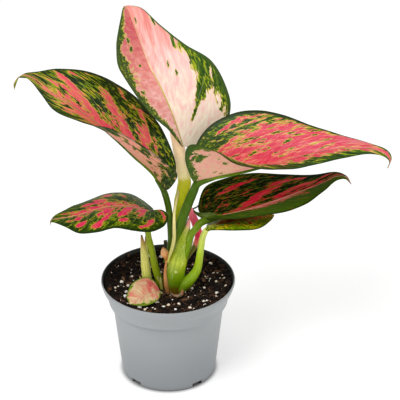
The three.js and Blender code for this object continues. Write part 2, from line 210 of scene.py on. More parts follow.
def blendPaint(tree, share, first, second):
    return add(tree, "ShaderNodeMix", {0: share, 6: first, 7: second}, data_type="RGBA").outputs[2]


def grain(tree, x, y, z, scale=1.0, detail=3.0, rough=0.55):
    place = add(tree, "ShaderNodeCombineXYZ", {0: x, 1: y, 2: z}).outputs[0]
    return add(tree, "ShaderNodeTexNoise",
        {"Vector": place, "Scale": scale, "Detail": detail, "Roughness": rough}).outputs[0]


def spaceGrain(tree, scale, detail=3.0, rough=0.55):
    place = add(tree, "ShaderNodeTexCoord").outputs["Object"]
    inputs = {"Vector": place, "Scale": scale, "Detail": detail, "Roughness": rough}
    return add(tree, "ShaderNodeTexNoise", inputs).outputs[0]


def ramp(tree, value, stops):
    made = add(tree, "ShaderNodeValToRGB", {0: value})
    elements = made.color_ramp.elements
    while len(elements) < len(stops):
        elements.new(0.5)
    for element, (place, colour) in zip(elements, stops):
        element.position = place
        element.color = paint(*colour)
    return made.outputs[0]


def finishMaterial(name, build):
    # build gets the tree and returns the sockets and plain numbers of the surface, with height for the bump
    material = bpy.data.materials.new(name)
    material.use_nodes = True
    tree = material.node_tree
    tree.nodes.clear()
    look = build(tree)
    height, depth = look.pop("height", None), look.pop("depth", 0.1)
    surface = add(tree, "ShaderNodeBsdfPrincipled", look)
    if height:
        bump = add(tree, "ShaderNodeBump", {"Height": height, "Strength": 1.0, "Distance": depth * mm})
        tree.links.new(bump.outputs[0], surface.inputs["Normal"])
    output = add(tree, "ShaderNodeOutputMaterial")
    tree.links.new(surface.outputs[0], output.inputs[0])
    return material


# leaves

def halfBlade(leaf, side, rows, columns):
    # one half lies between the midrib and its own edge, as in the CAD, and arches a little in between
    s = np.linspace(0, 1, rows + 1)
    rib, length = along(leaf["rib"], s)
    edge, _ = along(leaf[side], s ** edgeLead)
    across = edge - rib
    turn = 1 if side == "right" else -1
    up = unit(np.cross(across, np.gradient(rib, axis=0))) * turn
    v = np.linspace(0, 1, columns + 1)
    rise = spread(leaf["arch"][side], s) * np.linalg.norm(across, axis=1)
    arched = (rise[:, None] * 4 * v * (1 - v))[..., None]
    made = rib[:, None] + across[:, None] * v[None, :, None] + up[:, None] * arched
    return made, s, v, np.linalg.norm(across, axis=1), length


def bladePaint(leaf, side, s, v):
    # how pink (above 0) or green (below 0) each point is, from the pink's reach and the leaf's patches
    sweep = spread(leaf["sweep"][side], s)
    reach = spread(leaf["pinkReach"][side], s)
    field = np.clip((reach[:, None] - v[None, :]) * 5, -1, 1)
    sign = 1 if side == "right" else -1
    for place, out, width, length, strength in leaf["patches"]:
        if out * sign < 0:
            continue
        lean = np.interp(place, s, sweep)
        apart = ((s[:, None] - place) - lean * (v[None, :] - abs(out))) / width
        far = (v[None, :] - abs(out)) / length
        weight = np.exp(-(apart ** 2 + far ** 2) ** 2)
        field = field + (strength - field) * weight
    return field


noLightAndShade = {"left": [0, 0], "right": [0, 0]}


def blade(leaf, seed, rowStep=0.8, thickness=0.8):
    ribLength = along(leaf["rib"], [0])[1]
    rows = round(ribLength / rowStep)
    columns = leaf.get("columns", 30)
    halves, values = [], {}
    for side in ("left", "right"):
        made, s, v, width, length = halfBlade(leaf, side, rows, columns)
        out = width[:, None] * v[None, :]
        sweep = spread(leaf["sweep"][side], s)[:, None]
        run = s[:, None] * length - sweep * v[None, :] * length
        # the side veins lean, so the gaps across them are narrower than along the midrib
        leanShare = float(np.mean(width) / math.hypot(np.mean(width), np.mean(sweep) * length))
        field = bladePaint(leaf, side, s, v)
        tone = np.repeat(spread(leaf["tone"][side], s)[:, None], columns + 1, 1)
        # quilted a little between its side veins, with a soft wave along the edge
        fold = np.sin(fullTurn * run * leanShare / leaf["look"]["veinGap"]) * 0.12
        fold = fold * np.clip(out / 5, 0, 1) * np.clip((1 - v[None, :]) * 4, 0.15, 1)
        fold = fold * np.clip((1 - s[:, None]) * 6, 0, 1)
        wave = wobble(made, 17.0, seed) * leaf.get("wave", 0.7) * v[None, :] ** 3
        wave = wave * np.clip(s[:, None] * 8, 0, 1) * np.clip((1 - s[:, None]) * 4, 0, 1)
        halves.append(made)
        data = {
            "veinRun": run * leanShare + (300 if side == "right" else 0),
            "veinOut": out / leanShare, "outRun": out,
            # lift carries the painted light and shade of the green
            "lift": np.repeat(spread(leaf.get("greenLightAndShade", noLightAndShade)[side], s)[:, None], columns + 1, 1),
            "edgeShare": np.repeat(v[None, :], rows + 1, 0), "paint": field, "tone": tone,
            "alongRib": np.repeat(s[:, None], columns + 1, 1), "rise": fold + wave,
            "thin": np.clip(np.minimum(width[:, None] * 0.25, 1), 0.15, 1) * (1 - 0.55 * v[None, :] ** 6),
        }
        for key, value in data.items():
            values.setdefault(key, []).append(value)
    join = lambda left, right: np.concatenate([left[:, :0:-1], right], 1)
    middle = join(*halves)
    grids = {key: join(*pair) for key, pair in values.items()}
    # the midrib's own point belongs to both halves
    normal = unit(np.cross(np.gradient(middle, axis=1), np.gradient(middle, axis=0)))
    normal[-1] = normal[-2]
    normal[0] = normal[1]
    rise, half = grids.pop("rise")[..., None], grids.pop("thin")[..., None] * thickness / 2
    channel = np.exp(-(grids["outRun"] / 0.9) ** 2) * 0.3 * np.clip((1 - grids["alongRib"]) * 3, 0, 1)
    channel = channel[..., None]
    top = middle + normal * (rise + half - channel)
    bottom = middle + normal * (rise - half)
    across = middle.shape[1]
    count = middle.shape[0] * across
    faces = gridFaces(rows + 1, across) + gridFaces(rows + 1, across, count, flip=True)
    # the edge is closed all round
    loop = [i * across for i in range(rows + 1)] + [rows * across + j for j in range(1, across)]
    loop += [i * across + across - 1 for i in range(rows - 1, -1, -1)] + list(range(across - 2, 0, -1))
    faces += [[a, b, b + count, a + count] for a, b in zip(loop, loop[1:] + loop[:1])]
    flat = {key: np.tile(grid.reshape(-1), 2) for key, grid in grids.items()}
    flat["under"] = np.repeat([0.0, 1.0], count)
    return {"points": np.vstack([top.reshape(-1, 3), bottom.reshape(-1, 3)]), "faces": faces, "values": flat}


def ribUnder(leaf, drop=0.7):
    # the midrib stands out below the blade and fades towards the tip
    s = np.linspace(0.02, 0.93, 14)
    rib, _ = along(leaf["rib"], s)
    left, _ = along(leaf["left"], s ** edgeLead)
    right, _ = along(leaf["right"], s ** edgeLead)
    up = unit(np.cross(right - left, np.gradient(rib, axis=0)))
    radius = spread(leaf["ribRadii"], s)
    return tube((rib - up * (radius * drop)[:, None]).tolist(), radius.tolist(), sides=10, step=2.0, lumps=0.0,
        material=1)


def patchy(tree, run, out, wide, long, seed):
    # angular patches with a random value from 0 to 1 each, longer along the side veins
    bend = calc(tree, "SUBTRACT", grain(tree, times(tree, run, 0.35), times(tree, out, 0.35), seed), 0.5)
    x = calc(tree, "MULTIPLY_ADD", bend, 1.6, times(tree, run, 1 / wide))
    place = add(tree, "ShaderNodeCombineXYZ", {0: x, 1: times(tree, out, 1 / long), 2: seed}).outputs[0]
    cell = add(tree, "ShaderNodeTexVoronoi", {"Vector": place, "Scale": 1.0, "Randomness": 0.85},
        distance="CHEBYCHEV")
    return add(tree, "ShaderNodeSeparateColor", {0: cell.outputs["Color"]}).outputs[0]


def leafMaterial(name, look, seed):
    def build(tree):
        run, out, edge = read(tree, "veinRun"), read(tree, "veinOut"), read(tree, "edgeShare")
        field, tone = read(tree, "paint"), read(tree, "tone")
        under, rib = read(tree, "under"), read(tree, "alongRib")
        scaled = lambda value, size: times(tree, value, 1 / size)
        noisy = lambda value, share: times(tree, calc(tree, "SUBTRACT", value, 0.5), share)
        blot = grain(tree, scaled(run, 8), scaled(out, 13), seed + 15, 1.0, 2.0)
        streak = grain(tree, scaled(run, 1.5), scaled(out, 6), seed, 1.0, 3.0)
        large = patchy(tree, run, out, look["patchWidth"], look["patchLength"], seed + 3)
        small = patchy(tree, run, out, look["patchWidth"] * 0.45, look["patchLength"] * 0.4, seed + 9)
        mask = times(tree, field, look["fieldShare"])
        for value, share in ((blot, look["blot"]), (streak, look["streak"]), (large, look["large"]),
            (small, look["small"])):
            mask = plus(tree, mask, noisy(value, share))
        # green, with lighter cloudy marks between the veins and yellow flecks near the pink
        cloud = grain(tree, scaled(run, 3), scaled(out, 6), seed + 21, 1.0, 4.0)
        # the lift adds painted light and shade to the green, on leaves that have it
        cloud = plus(tree, cloud, read(tree, "lift"))
        green = blendPaint(tree, fade(tree, cloud, 0.4, 0.68), paint(*look["darkGreen"]),
            paint(*look["midGreen"]))
        near = plus(tree, mask, noisy(small, look["fleckSpread"]))
        green = blendPaint(tree, fade(tree, near, *look["lightFade"], (0.0, 0.9)), green,
            paint(*look["lightGreen"]))
        # pink, from pale to deep, in streaks and patches along the veins
        fine = grain(tree, scaled(run, 0.9), scaled(out, 8), seed + 31, 1.0, 3.0)
        soft = grain(tree, scaled(run, 4), scaled(out, 9), seed + 41, 1.0, 2.0)
        depth = plus(tree, tone, noisy(fine, look["fineTone"]))
        depth = plus(tree, depth, noisy(soft, look["softTone"]))
        depth = plus(tree, depth, noisy(large, look["patchTone"]))
        pink = ramp(tree, depth, look["pinks"])
        shown = blendPaint(tree, fade(tree, mask, *look["yellowFade"]), green, paint(*look["yellow"]))
        shown = blendPaint(tree, fade(tree, mask, *look["paleFade"]), shown, paint(*look["paleEdge"]))
        shown = blendPaint(tree, fade(tree, mask, *look["pinkFade"]), shown, pink)
        # midrib and edge line
        ribWide = fade(tree, plus(tree, read(tree, "outRun"), times(tree, rib, 0.7)), 0.6, 1.4,
            (look["ribShow"], 0.0))
        shown = blendPaint(tree, ribWide, shown, paint(*look["ribPaint"]))
        border = plus(tree, edge, noisy(streak, 0.04))
        shown = blendPaint(tree, fade(tree, border, 0.92, 0.96), shown, paint(*look["edgePaint"]))
        # the underside is paler and greyer, and the marks show through
        lift = blendPaint(tree, fade(tree, mask, -0.1, 0.15), paint(*look["underGreen"]),
            paint(*look["underPaint"]))
        lift = blendPaint(tree, look["underShare"], shown, lift)
        shown = blendPaint(tree, under, shown, lift)
        waves = calc(tree, "SINE", times(tree, run, fullTurn / look["veinGap"]))
        veinLine = fade(tree, waves, 0.93, 1.0, (0.0, look["veinShow"]))
        veinLine = times(tree, veinLine, fade(tree, edge, 0.95, 0.6))
        shown = blendPaint(tree, veinLine, shown, paint(*look["veinPaint"]))
        cells = spaceGrain(tree, 900, 2.0)
        height = calc(tree, "MULTIPLY_ADD", fine, 0.8, times(tree, cells, 0.35))
        rough = plus(tree, noisy(cloud, 0.2), look["rough"])
        rough = calc(tree, "MULTIPLY_ADD", under, 0.16, rough)
        return {
            "Base Color": shown, "Roughness": rough, "height": height, "depth": 0.12,
            "Specular IOR Level": look["shine"],
        }
    return finishMaterial(name, build)


def stalkMaterial(name, stops, streaks=0.35, mottle=0.3, dark=(60, 80, 18), rough=0.42, shine=0.5, wide=2.2,
    paintedGlow=0.0):
    # the glow is painted light: an emission that brightens a pale stalk where it lies in shade
    def build(tree):
        x, y, run, share = (read(tree, key) for key in ("ringX", "ringY", "lengthRun", "share"))
        lines = grain(tree, times(tree, x, wide), times(tree, y, wide), times(tree, run, 0.09), 1.0, 3.0)
        spots = grain(tree, times(tree, x, 0.9), times(tree, y, 0.9), times(tree, run, 0.45), 1.0, 4.0, 0.7)
        place = calc(tree, "MULTIPLY_ADD", calc(tree, "SUBTRACT", spots, 0.5), 0.12, share)
        colour = ramp(tree, place, stops)
        colour = blendPaint(tree, fade(tree, lines, 0.45, 0.7, (0.0, streaks)), colour, paint(*dark))
        colour = blendPaint(tree, fade(tree, spots, 0.52, 0.7, (0.0, mottle)), colour, paint(*dark))
        pale = blendPaint(tree, 0.5, colour, (1, 1, 0.8, 1))
        colour = blendPaint(tree, fade(tree, lines, 0.4, 0.25, (0.0, streaks)), colour, pale)
        height = plus(tree, lines, times(tree, spots, 0.7))
        return {
            "Base Color": colour, "Roughness": rough, "Specular IOR Level": shine, "height": height,
            "depth": 0.25, "Emission Color": colour, "Emission Strength": paintedGlow,
        }
    return finishMaterial(name, build)


def makeLeaf(name, leaf, node, seed):
    parts = [blade(leaf, seed), ribUnder(leaf)]
    for number, stalk in enumerate(leaf["stalks"]):
        settings = {key: value for key, value in stalk.items() if key not in ("points", "radii")}
        parts.append({**tube(stalk["points"], stalk["radii"], seed=seed + number, **settings),
            "material": 1 + number})
    materials = [leafMaterial(name + "Blade", leaf["look"], seed)]
    for number, stalk in enumerate(leaf["stalkLooks"]):
        materials.append(stalkMaterial(name + "Stalk" + str(number), **stalk))
    return makePiece(name, parts, materials, [node])


# what most blades share; the fades say where light green, yellow, the pale edge and pink set in
plainLook = {
    "lightFade": (-0.36, -0.26), "yellowFade": (-0.16, -0.08), "paleFade": (0.0, 0.08), "pinkFade": (0.1, 0.24),
    "fieldShare": 0.66, "patchWidth": 3.2, "patchLength": 6.0,
    "blot": 1.5, "streak": 0.3, "large": 0.85, "small": 0.6, "fleckSpread": 0.8, "patchTone": 0.35,
    "darkGreen": (18, 46, 0), "midGreen": (50, 80, 2), "lightGreen": (126, 150, 10), "yellow": (176, 168, 36),
    "paleEdge": (232, 178, 118),
    "pinks": [(0.0, (246, 190, 160)), (0.5, (232, 112, 108)), (1.0, (214, 62, 72))],
    "fineTone": 0.9, "softTone": 0.8, "ribPaint": (226, 150, 130), "ribShow": 0.6, "edgePaint": (30, 50, 6),
    "underPaint": (206, 170, 140), "underShare": 0.3, "underGreen": (66, 96, 30), "veinGap": 4.5,
    "veinShow": 0.12, "veinPaint": (240, 200, 170), "rough": 0.46, "shine": 0.2,
}
greenStalk = {"stops": [(0.0, (100, 130, 4)), (0.3, (72, 104, 0)), (1.0, (66, 96, 0))], "dark": (40, 66, 0),
    "streaks": 0.5, "shine": 0.15}

topLeaf = {
    "rib": [
        (14, 6, 222), (5, 8, 252), (-5, 12, 276), (-14, 16, 294), (-21, 20, 312),
        (-28, 25, 330), (-32, 31, 338.6), (-34, 38, 339), (-36, 46, 335), (-36, 52, 326)],
    "left": [
        (13, 5, 223), (1, -7, 246), (-13, -16, 265), (-27, -20, 288), (-37.9, -18, 307),
        (-40.4, -10, 322), (-38.2, 6, 336), (-36, 24, 342), (-35.2, 38, 339), (-36.6, 46, 335),
        (-36.6, 52, 326)],
    "right": [
        (16, 7, 222), (34, 14, 219), (49, 20, 231), (54.6, 24, 251), (50.6, 26, 271), (37.9, 27, 294),
        (16, 28, 308.5), (-5, 29, 326), (-18.6, 31, 339), (-26.8, 33, 341.4), (-32.6, 38, 339.4),
        (-35.4, 46, 335), (-35.4, 52, 326)],
    "arch": {"left": [0, -0.04, -0.04, 0, 0], "right": [0, 0.06, 0.06, 0.04, 0]},
    "sweep": {"left": [-0.05, -0.05, -0.05], "right": [0.6, 0.45, 0.3, 0.2]},
    "pinkReach": {
        "left": [0.3, 0.52, 0.66, 0.7, 0.62, 0.64, 0.72, 0.74, 0.84, 0.8, 0.5],
        "right": [1.2, 1.1, 0.95, 0.72, 0.7, 0.84, 0.94, 0.96, 0.97, 0.9, 0.6]},
    # the left half's deeper tone is partly the leaf's own colour, partly painted shade
    "tone": {
        "left": [0.2, 0.36, 0.46, 0.5, 0.56, 0.64, 0.8, 0.95, 0.75, 0.6, 0.6],
        "right": [0.0, 0.04, 0.1, 0.16, 0.22, 0.32, 0.42, 0.5, 0.58, 0.62, 0.6]},
    # place along the midrib, place out to the edge (left below 0), width, length, and pink or green
    "patches": [
        (0.49, -0.28, 0.008, 0.05, -0.5), (0.57, -0.47, 0.018, 0.05, -0.8), (0.61, -0.56, 0.018, 0.08, -0.9),
        (0.555, -0.73, 0.035, 0.12, 1.0), (0.345, -0.76, 0.015, 0.12, 0.8), (0.65, -0.66, 0.012, 0.07, 0.6),
        (0.20, 0.36, 0.018, 0.09, -1.0), (0.265, 0.47, 0.026, 0.09, -1.0), (0.33, 0.64, 0.052, 0.14, -1.0),
        (0.42, 0.8, 0.06, 0.1, -1.0), (0.5, 0.92, 0.05, 0.08, -0.8), (0.22, 0.85, 0.025, 0.06, -0.6),
        (0.42, 0.36, 0.012, 0.035, -1.2), (0.475, 0.33, 0.012, 0.045, -1.2), (0.575, 0.8, 0.014, 0.1, -0.8),
        (0.72, 0.88, 0.016, 0.08, -0.6),
        (0.755, 0.18, 0.012, 0.05, -0.5), (0.375, 0.88, 0.012, 0.06, 0.8), (0.21, 0.62, 0.05, 0.12, 0.9)],
    "ribRadii": [1.6, 1.5, 1.2, 0.8, 0.4],
    "stalks": [
        {"points": [
            (5, 0, 123), (7, 2, 146), (10, 4, 163), (14, 6, 180), (15.6, 7, 189),
            (13, 8, 204), (10.8, 10.4, 220), (6.7, 11, 236), (4.4, 10, 252), (-0.6, 11.2, 265)],
         "radii": [3, 3.5, 4.4, 5.6, 6.5, 6.2, 6.2, 4.8, 2.6, 1.2], "sides": 32, "groove": 0.28, "lumps": 0.06},
        {"points": [
            (11, 4, 184), (8.6, -1.5, 176), (6.4, -7.5, 166), (6, -12.6, 153.5), (6, -14, 143.7),
            (4.4, -15, 135), (1.8, -15.8, 126), (0.2, -16.2, 119)],
         "radii": [1.4, 1.1, 1.1, 1.3, 1.5, 1.6, 1.3, 0.6], "flat": 0.6, "lumps": 0.12}],
    "stalkLooks": [
        {"stops": [(0.0, (140, 156, 0)), (0.22, (160, 170, 10)), (0.38, (190, 194, 20)), (0.48, (206, 200, 50)),
                   (0.5, (250, 234, 170)), (0.6, (250, 222, 178)), (0.8, (244, 200, 160)),
                   (1.0, (240, 184, 154))],
         # the emission here is painted light on the pale upper stalk, which lies in shade under the leaves
         "dark": (124, 128, 0), "streaks": 0.25, "mottle": 0.45, "shine": 0.15, "paintedGlow": 0.2},
        {"stops": [(0.0, (240, 226, 150)), (0.4, (236, 220, 150)), (0.7, (226, 214, 130)),
            (1.0, (200, 204, 90))],
         "dark": (150, 130, 50), "streaks": 0.35, "shine": 0.2}],
    "look": {
        **plainLook, "darkGreen": (34, 70, 0), "midGreen": (80, 112, 20), "lightGreen": (150, 166, 20),
        "yellow": (200, 192, 70), "paleEdge": (244, 204, 140), "fieldShare": 0.9, "blot": 1.2,
        "patchTone": 0.16, "small": 0.5,
        "pinks": [(0.0, (255, 242, 218)), (0.3, (252, 200, 192)), (0.62, (232, 140, 130)),
            (1.0, (214, 90, 100))],
        "fineTone": 0.25, "softTone": 0.5, "ribPaint": (206, 176, 110), "ribShow": 0.7,
        "edgePaint": (58, 84, 18), "veinPaint": (255, 232, 220), "underPaint": (220, 196, 160)},
}

leftLeaf = {
    "rib": [
        (-4, -6, 187), (-11.2, -10, 205), (-24.8, -14, 221.2), (-41.2, -19, 241.8), (-59.8, -24, 262.2),
        (-79, -29, 280),
        (-97, -33, 295), (-110, -36, 308), (-118, -37, 309), (-123, -38, 303), (-123, -38, 297)],
    "left": [
        (-4, -7, 186), (3, -14, 193), (9, -22, 211), (-5, -38, 234), (-24, -46, 254), (-44, -48, 266),
        (-63, -46, 270), (-80, -44, 275), (-92, -41, 281), (-101, -39, 293.5), (-110, -38, 305.5),
        (-118, -38, 308.4), (-123, -38.6, 297)],
    "right": [
        (-3, -6, 188), (5, -7, 197), (8, -6, 210), (3, 0, 226), (-8, 7, 246), (-24, 9, 266), (-44, 5, 284),
        (-65, -4, 298), (-87, -16, 306), (-104, -26, 308), (-115, -35, 310), (-122, -37, 304),
        (-123, -37.4, 297)],
    "arch": {"left": [0, -0.05, -0.1, 0, 0], "right": [0, 0.08, 0.08, 0.06, 0]},
    "sweep": {"left": [0.1, 0.1, 0.25, 0.1], "right": [0.15, 0.3, 0.3, 0.2]},
    "pinkReach": {
        "left": [0, 0.1, 0.5, 0.7, 0.7, 0.5, 0.3, 0.1, 0.15, 0.1, 0],
        "right": [0, 0.1, 0.25, 0.25, 0.2, 0.15, 0.15, 0.15, 0.1, 0.1, 0]},
    "tone": {"left": [0.2, 0.2, 0.25, 0.4, 0.6, 0.6, 0.55, 0.5, 0.4, 0.3, 0.3],
             "right": [0.5, 0.6, 0.62, 0.7, 0.75, 0.65, 0.6, 0.7, 0.5, 0.3, 0.3]},
    "patches": [
        (0.235, 0.4, 0.05, 0.18, 1.0), (0.275, 0.66, 0.03, 0.2, 0.7), (0.36, 0.28, 0.05, 0.18, 1.0),
        (0.43, 0.42, 0.065, 0.18, 1.0), (0.485, 0.62, 0.035, 0.16, 1.0), (0.38, 0.2, 0.007, 0.12, -0.8),
        (0.56, 0.22, 0.025, 0.12, 0.9), (0.52, 0.25, 0.008, 0.16, -0.8), (0.65, 0.36, 0.065, 0.18, 1.0),
        (0.7, 0.62, 0.035, 0.16, 0.9), (0.755, 0.42, 0.018, 0.1, 0.9), (0.72, 0.8, 0.012, 0.06, 0.6),
        (0.41, 0.84, 0.016, 0.05, 0.3), (0.6, 0.82, 0.02, 0.05, 0.14), (0.67, 0.86, 0.02, 0.05, 0.16),
        (0.34, 0.78, 0.018, 0.06, 0.1), (0.63, 0.2, 0.008, 0.1, -0.05), (0.82, 0.6, 0.012, 0.3, 0.05),
        (0.79, 0.3, 0.01, 0.2, 0.1), (0.85, 0.4, 0.012, 0.4, 0.05), (0.18, 0.55, 0.02, 0.12, 0.1),
        (0.48, -0.2, 0.05, 0.24, 1.0), (0.58, -0.1, 0.06, 0.1, 0.9), (0.63, -0.36, 0.035, 0.18, 0.9),
        (0.56, -0.64, 0.02, 0.13, 0.35), (0.65, -0.62, 0.035, 0.08, 0.3), (0.73, -0.1, 0.04, 0.1, 0.8),
        (0.72, -0.5, 0.03, 0.14, 0.16), (0.8, -0.1, 0.03, 0.1, 0.6), (0.78, -0.7, 0.015, 0.2, 0.05),
        (0.13, -0.3, 0.04, 0.25, 0.6), (0.22, -0.7, 0.045, 0.4, 0.7), (0.36, -0.85, 0.06, 0.25, 0.6),
        (0.25, -0.75, 0.012, 0.12, -0.7), (0.05, -0.6, 0.03, 0.5, -1.0), (0.16, -0.9, 0.02, 0.1, -0.1),
        (0.2, -0.5, 0.012, 0.1, -0.9), (0.31, -0.62, 0.014, 0.1, -0.9), (0.36, -0.72, 0.014, 0.08, -0.8),
        (0.15, -0.7, 0.014, 0.1, -0.8), (0.42, -0.84, 0.012, 0.07, -0.7), (0.26, -0.88, 0.012, 0.05, -0.6)],
    "ribRadii": [1.3, 1.2, 1, 0.7, 0.4],
    "stalks": [
        {"points": [(0, -2, 112), (3, -3, 130), (2.6, -4, 148), (1.2, -5, 168), (-2.6, -5.8, 185),
            (-9, -8.8, 198)],
         "radii": [4, 3.2, 2.8, 2.8, 2.9, 1.4]}],
    "stalkLooks": [{**greenStalk, "stops": [(0.0, (110, 136, 4)), (0.25, (76, 106, 0)), (0.8, (62, 92, 0)),
        (1.0, (66, 92, 4))]}],
    "look": {
        **plainLook, "darkGreen": (14, 40, 0), "midGreen": (40, 66, 0), "underPaint": (222, 172, 150),
        "underShare": 0.5,
        "fieldShare": 0.58, "underGreen": (40, 62, 30), "yellow": (178, 160, 30), "paleEdge": (216, 160, 84),
        "patchLength": 4.6, "patchWidth": 3.4, "streak": 0.2,
        "pinks": [(0.0, (200, 150, 70)), (0.25, (214, 128, 92)), (0.5, (230, 104, 96)), (1.0, (224, 66, 92))]},
}

rightLeaf = {
    "rib": [
        (24, -10, 196), (41, -13, 203), (64, -16, 210), (90, -19, 219), (115, -22, 228),
        (141, -25, 236), (164, -27, 238), (180, -29, 236.2), (188, -30, 228), (186, -30, 220.4)],
    "left": [
        (24, -9, 196), (21, -7, 209), (24, -3, 226), (32, 2, 239), (44, 6, 248), (61, 8, 254.6), (80, 7, 256.6),
        (100, 3, 254), (123, -4, 248), (147, -12, 243), (170, -21, 240), (184.4, -27, 237), (189.4, -29, 230),
        (187, -29.4, 220.4)],
    "right": [
        (24, -11, 195), (20, -18, 207), (16, -25, 226), (18, -31, 241), (28, -37, 246), (43, -43, 242),
        (58, -47, 234), (77, -49, 230), (102, -48, 229), (123, -44, 231), (147, -39, 234.5), (167, -34, 236),
        (180, -31, 233), (187, -31, 228), (186, -30.6, 220.4)],
    "arch": {"left": [0, 0.08, 0.06, 0.04, 0], "right": [0, 0.05, 0, 0, 0]},
    "sweep": {"left": [0.9, 0.7, 0.35, 0.2, 0.1], "right": [0.1, 0.15, 0.17, 0.15]},
    "pinkReach": {
        "left": [0.1, 0.25, 0.62, 0.78, 0.86, 0.93, 0.98, 1.0, 1.0, 0.7, 0.1],
        "right": [0.1, 0.72, 0.84, 0.78, 0.6, 0.5, 0.4, 0.32, 0.3, 0.2, 0]},
    "tone": {"left": [0.3, 0.4, 0.5, 0.55, 0.62, 0.68, 0.76, 0.8, 0.86, 0.7, 0.4],
             "right": [0.1, 0.15, 0.2, 0.32, 0.46, 0.6, 0.6, 0.6, 0.6, 0.5, 0.3]},
    "patches": [
        (0.205, -0.8, 0.022, 0.06, 0.9), (0.272, -0.89, 0.02, 0.05, 0.9), (0.17, -0.72, 0.02, 0.05, -0.7),
        (0.2, -0.67, 0.03, 0.04, -0.8), (0.285, -0.48, 0.028, 0.07, -0.9), (0.322, -0.66, 0.026, 0.05, -0.9),
        (0.235, -0.3, 0.016, 0.04, -0.7), (0.42, -0.61, 0.016, 0.05, -0.8), (0.49, -0.62, 0.02, 0.05, -0.7),
        (0.453, -0.38, 0.01, 0.05, -0.8), (0.48, -0.25, 0.012, 0.06, -0.8), (0.4, -0.19, 0.012, 0.03, -0.7),
        (0.365, -0.28, 0.01, 0.04, -0.6), (0.67, -0.36, 0.008, 0.06, -0.8), (0.58, -0.68, 0.008, 0.05, -0.7),
        (0.56, -0.84, 0.014, 0.04, -0.6), (0.43, -0.1, 0.014, 0.03, -0.6), (0.64, -0.55, 0.006, 0.08, -0.4),
        (0.7, -0.8, 0.006, 0.08, -0.4), (0.38, -0.8, 0.014, 0.04, -0.5), (0.25, -0.6, 0.018, 0.08, 0.8),
        (0.13, 0.62, 0.028, 0.08, -0.9), (0.2, 0.3, 0.01, 0.05, -0.5), (0.11, 0.85, 0.02, 0.05, 0.1),
        (0.56, 0.58, 0.022, 0.22, 0.8), (0.76, 0.3, 0.012, 0.2, 0.4), (0.66, 0.45, 0.012, 0.15, 0.1),
        (0.5, 0.2, 0.05, 0.2, 0.8), (0.82, 0.5, 0.01, 0.25, 0.02), (0.1, -0.5, 0.05, 0.3, -0.9),
        (0.35, -0.45, 0.02, 0.04, -0.9), (0.47, -0.45, 0.012, 0.05, -0.9), (0.3, -0.25, 0.012, 0.05, -0.8),
        (0.55, 0.1, 0.012, 0.08, -0.5), (0.62, -0.16, 0.01, 0.08, -0.6), (0.74, -0.5, 0.008, 0.08, -0.5),
        (0.3, 0.95, 0.3, 0.1, -1.5), (0.75, 0.8, 0.2, 0.25, -1.3)],
    "ribRadii": [1.6, 1.4, 1.1, 0.8, 0.4],
    "stalks": [
        {"points": [
            (7, -4, 125), (10, -6, 145), (15, -8, 164), (20, -9, 179), (23.4, -9.6, 188), (27.6, -10.6, 196.2),
            (42, -13, 202)],
         "radii": [4, 4.4, 4.6, 4.4, 4.3, 3.4, 1.4], "sides": 24, "groove": 0.12}],
    "stalkLooks": [{**greenStalk, "stops": [(0.0, (110, 140, 4)), (0.3, (74, 106, 0)), (0.75, (64, 96, 0)),
        (1.0, (84, 110, 4))]}],
    "look": {
        **plainLook, "darkGreen": (24, 56, 0), "midGreen": (58, 94, 4),
        "pinks": [(0.0, (206, 164, 110)), (0.2, (232, 152, 130)), (0.45, (226, 92, 100)), (0.75, (212, 50, 84)),
            (1.0, (226, 120, 126))],
        "fieldShare": 0.62, "small": 0.45, "large": 1.0, "patchWidth": 4.0, "patchLength": 6.5, "fineTone": 1.1,
        "ribPaint": (238, 170, 150), "ribShow": 0.4, "underPaint": (236, 186, 164), "underShare": 0.6},
}

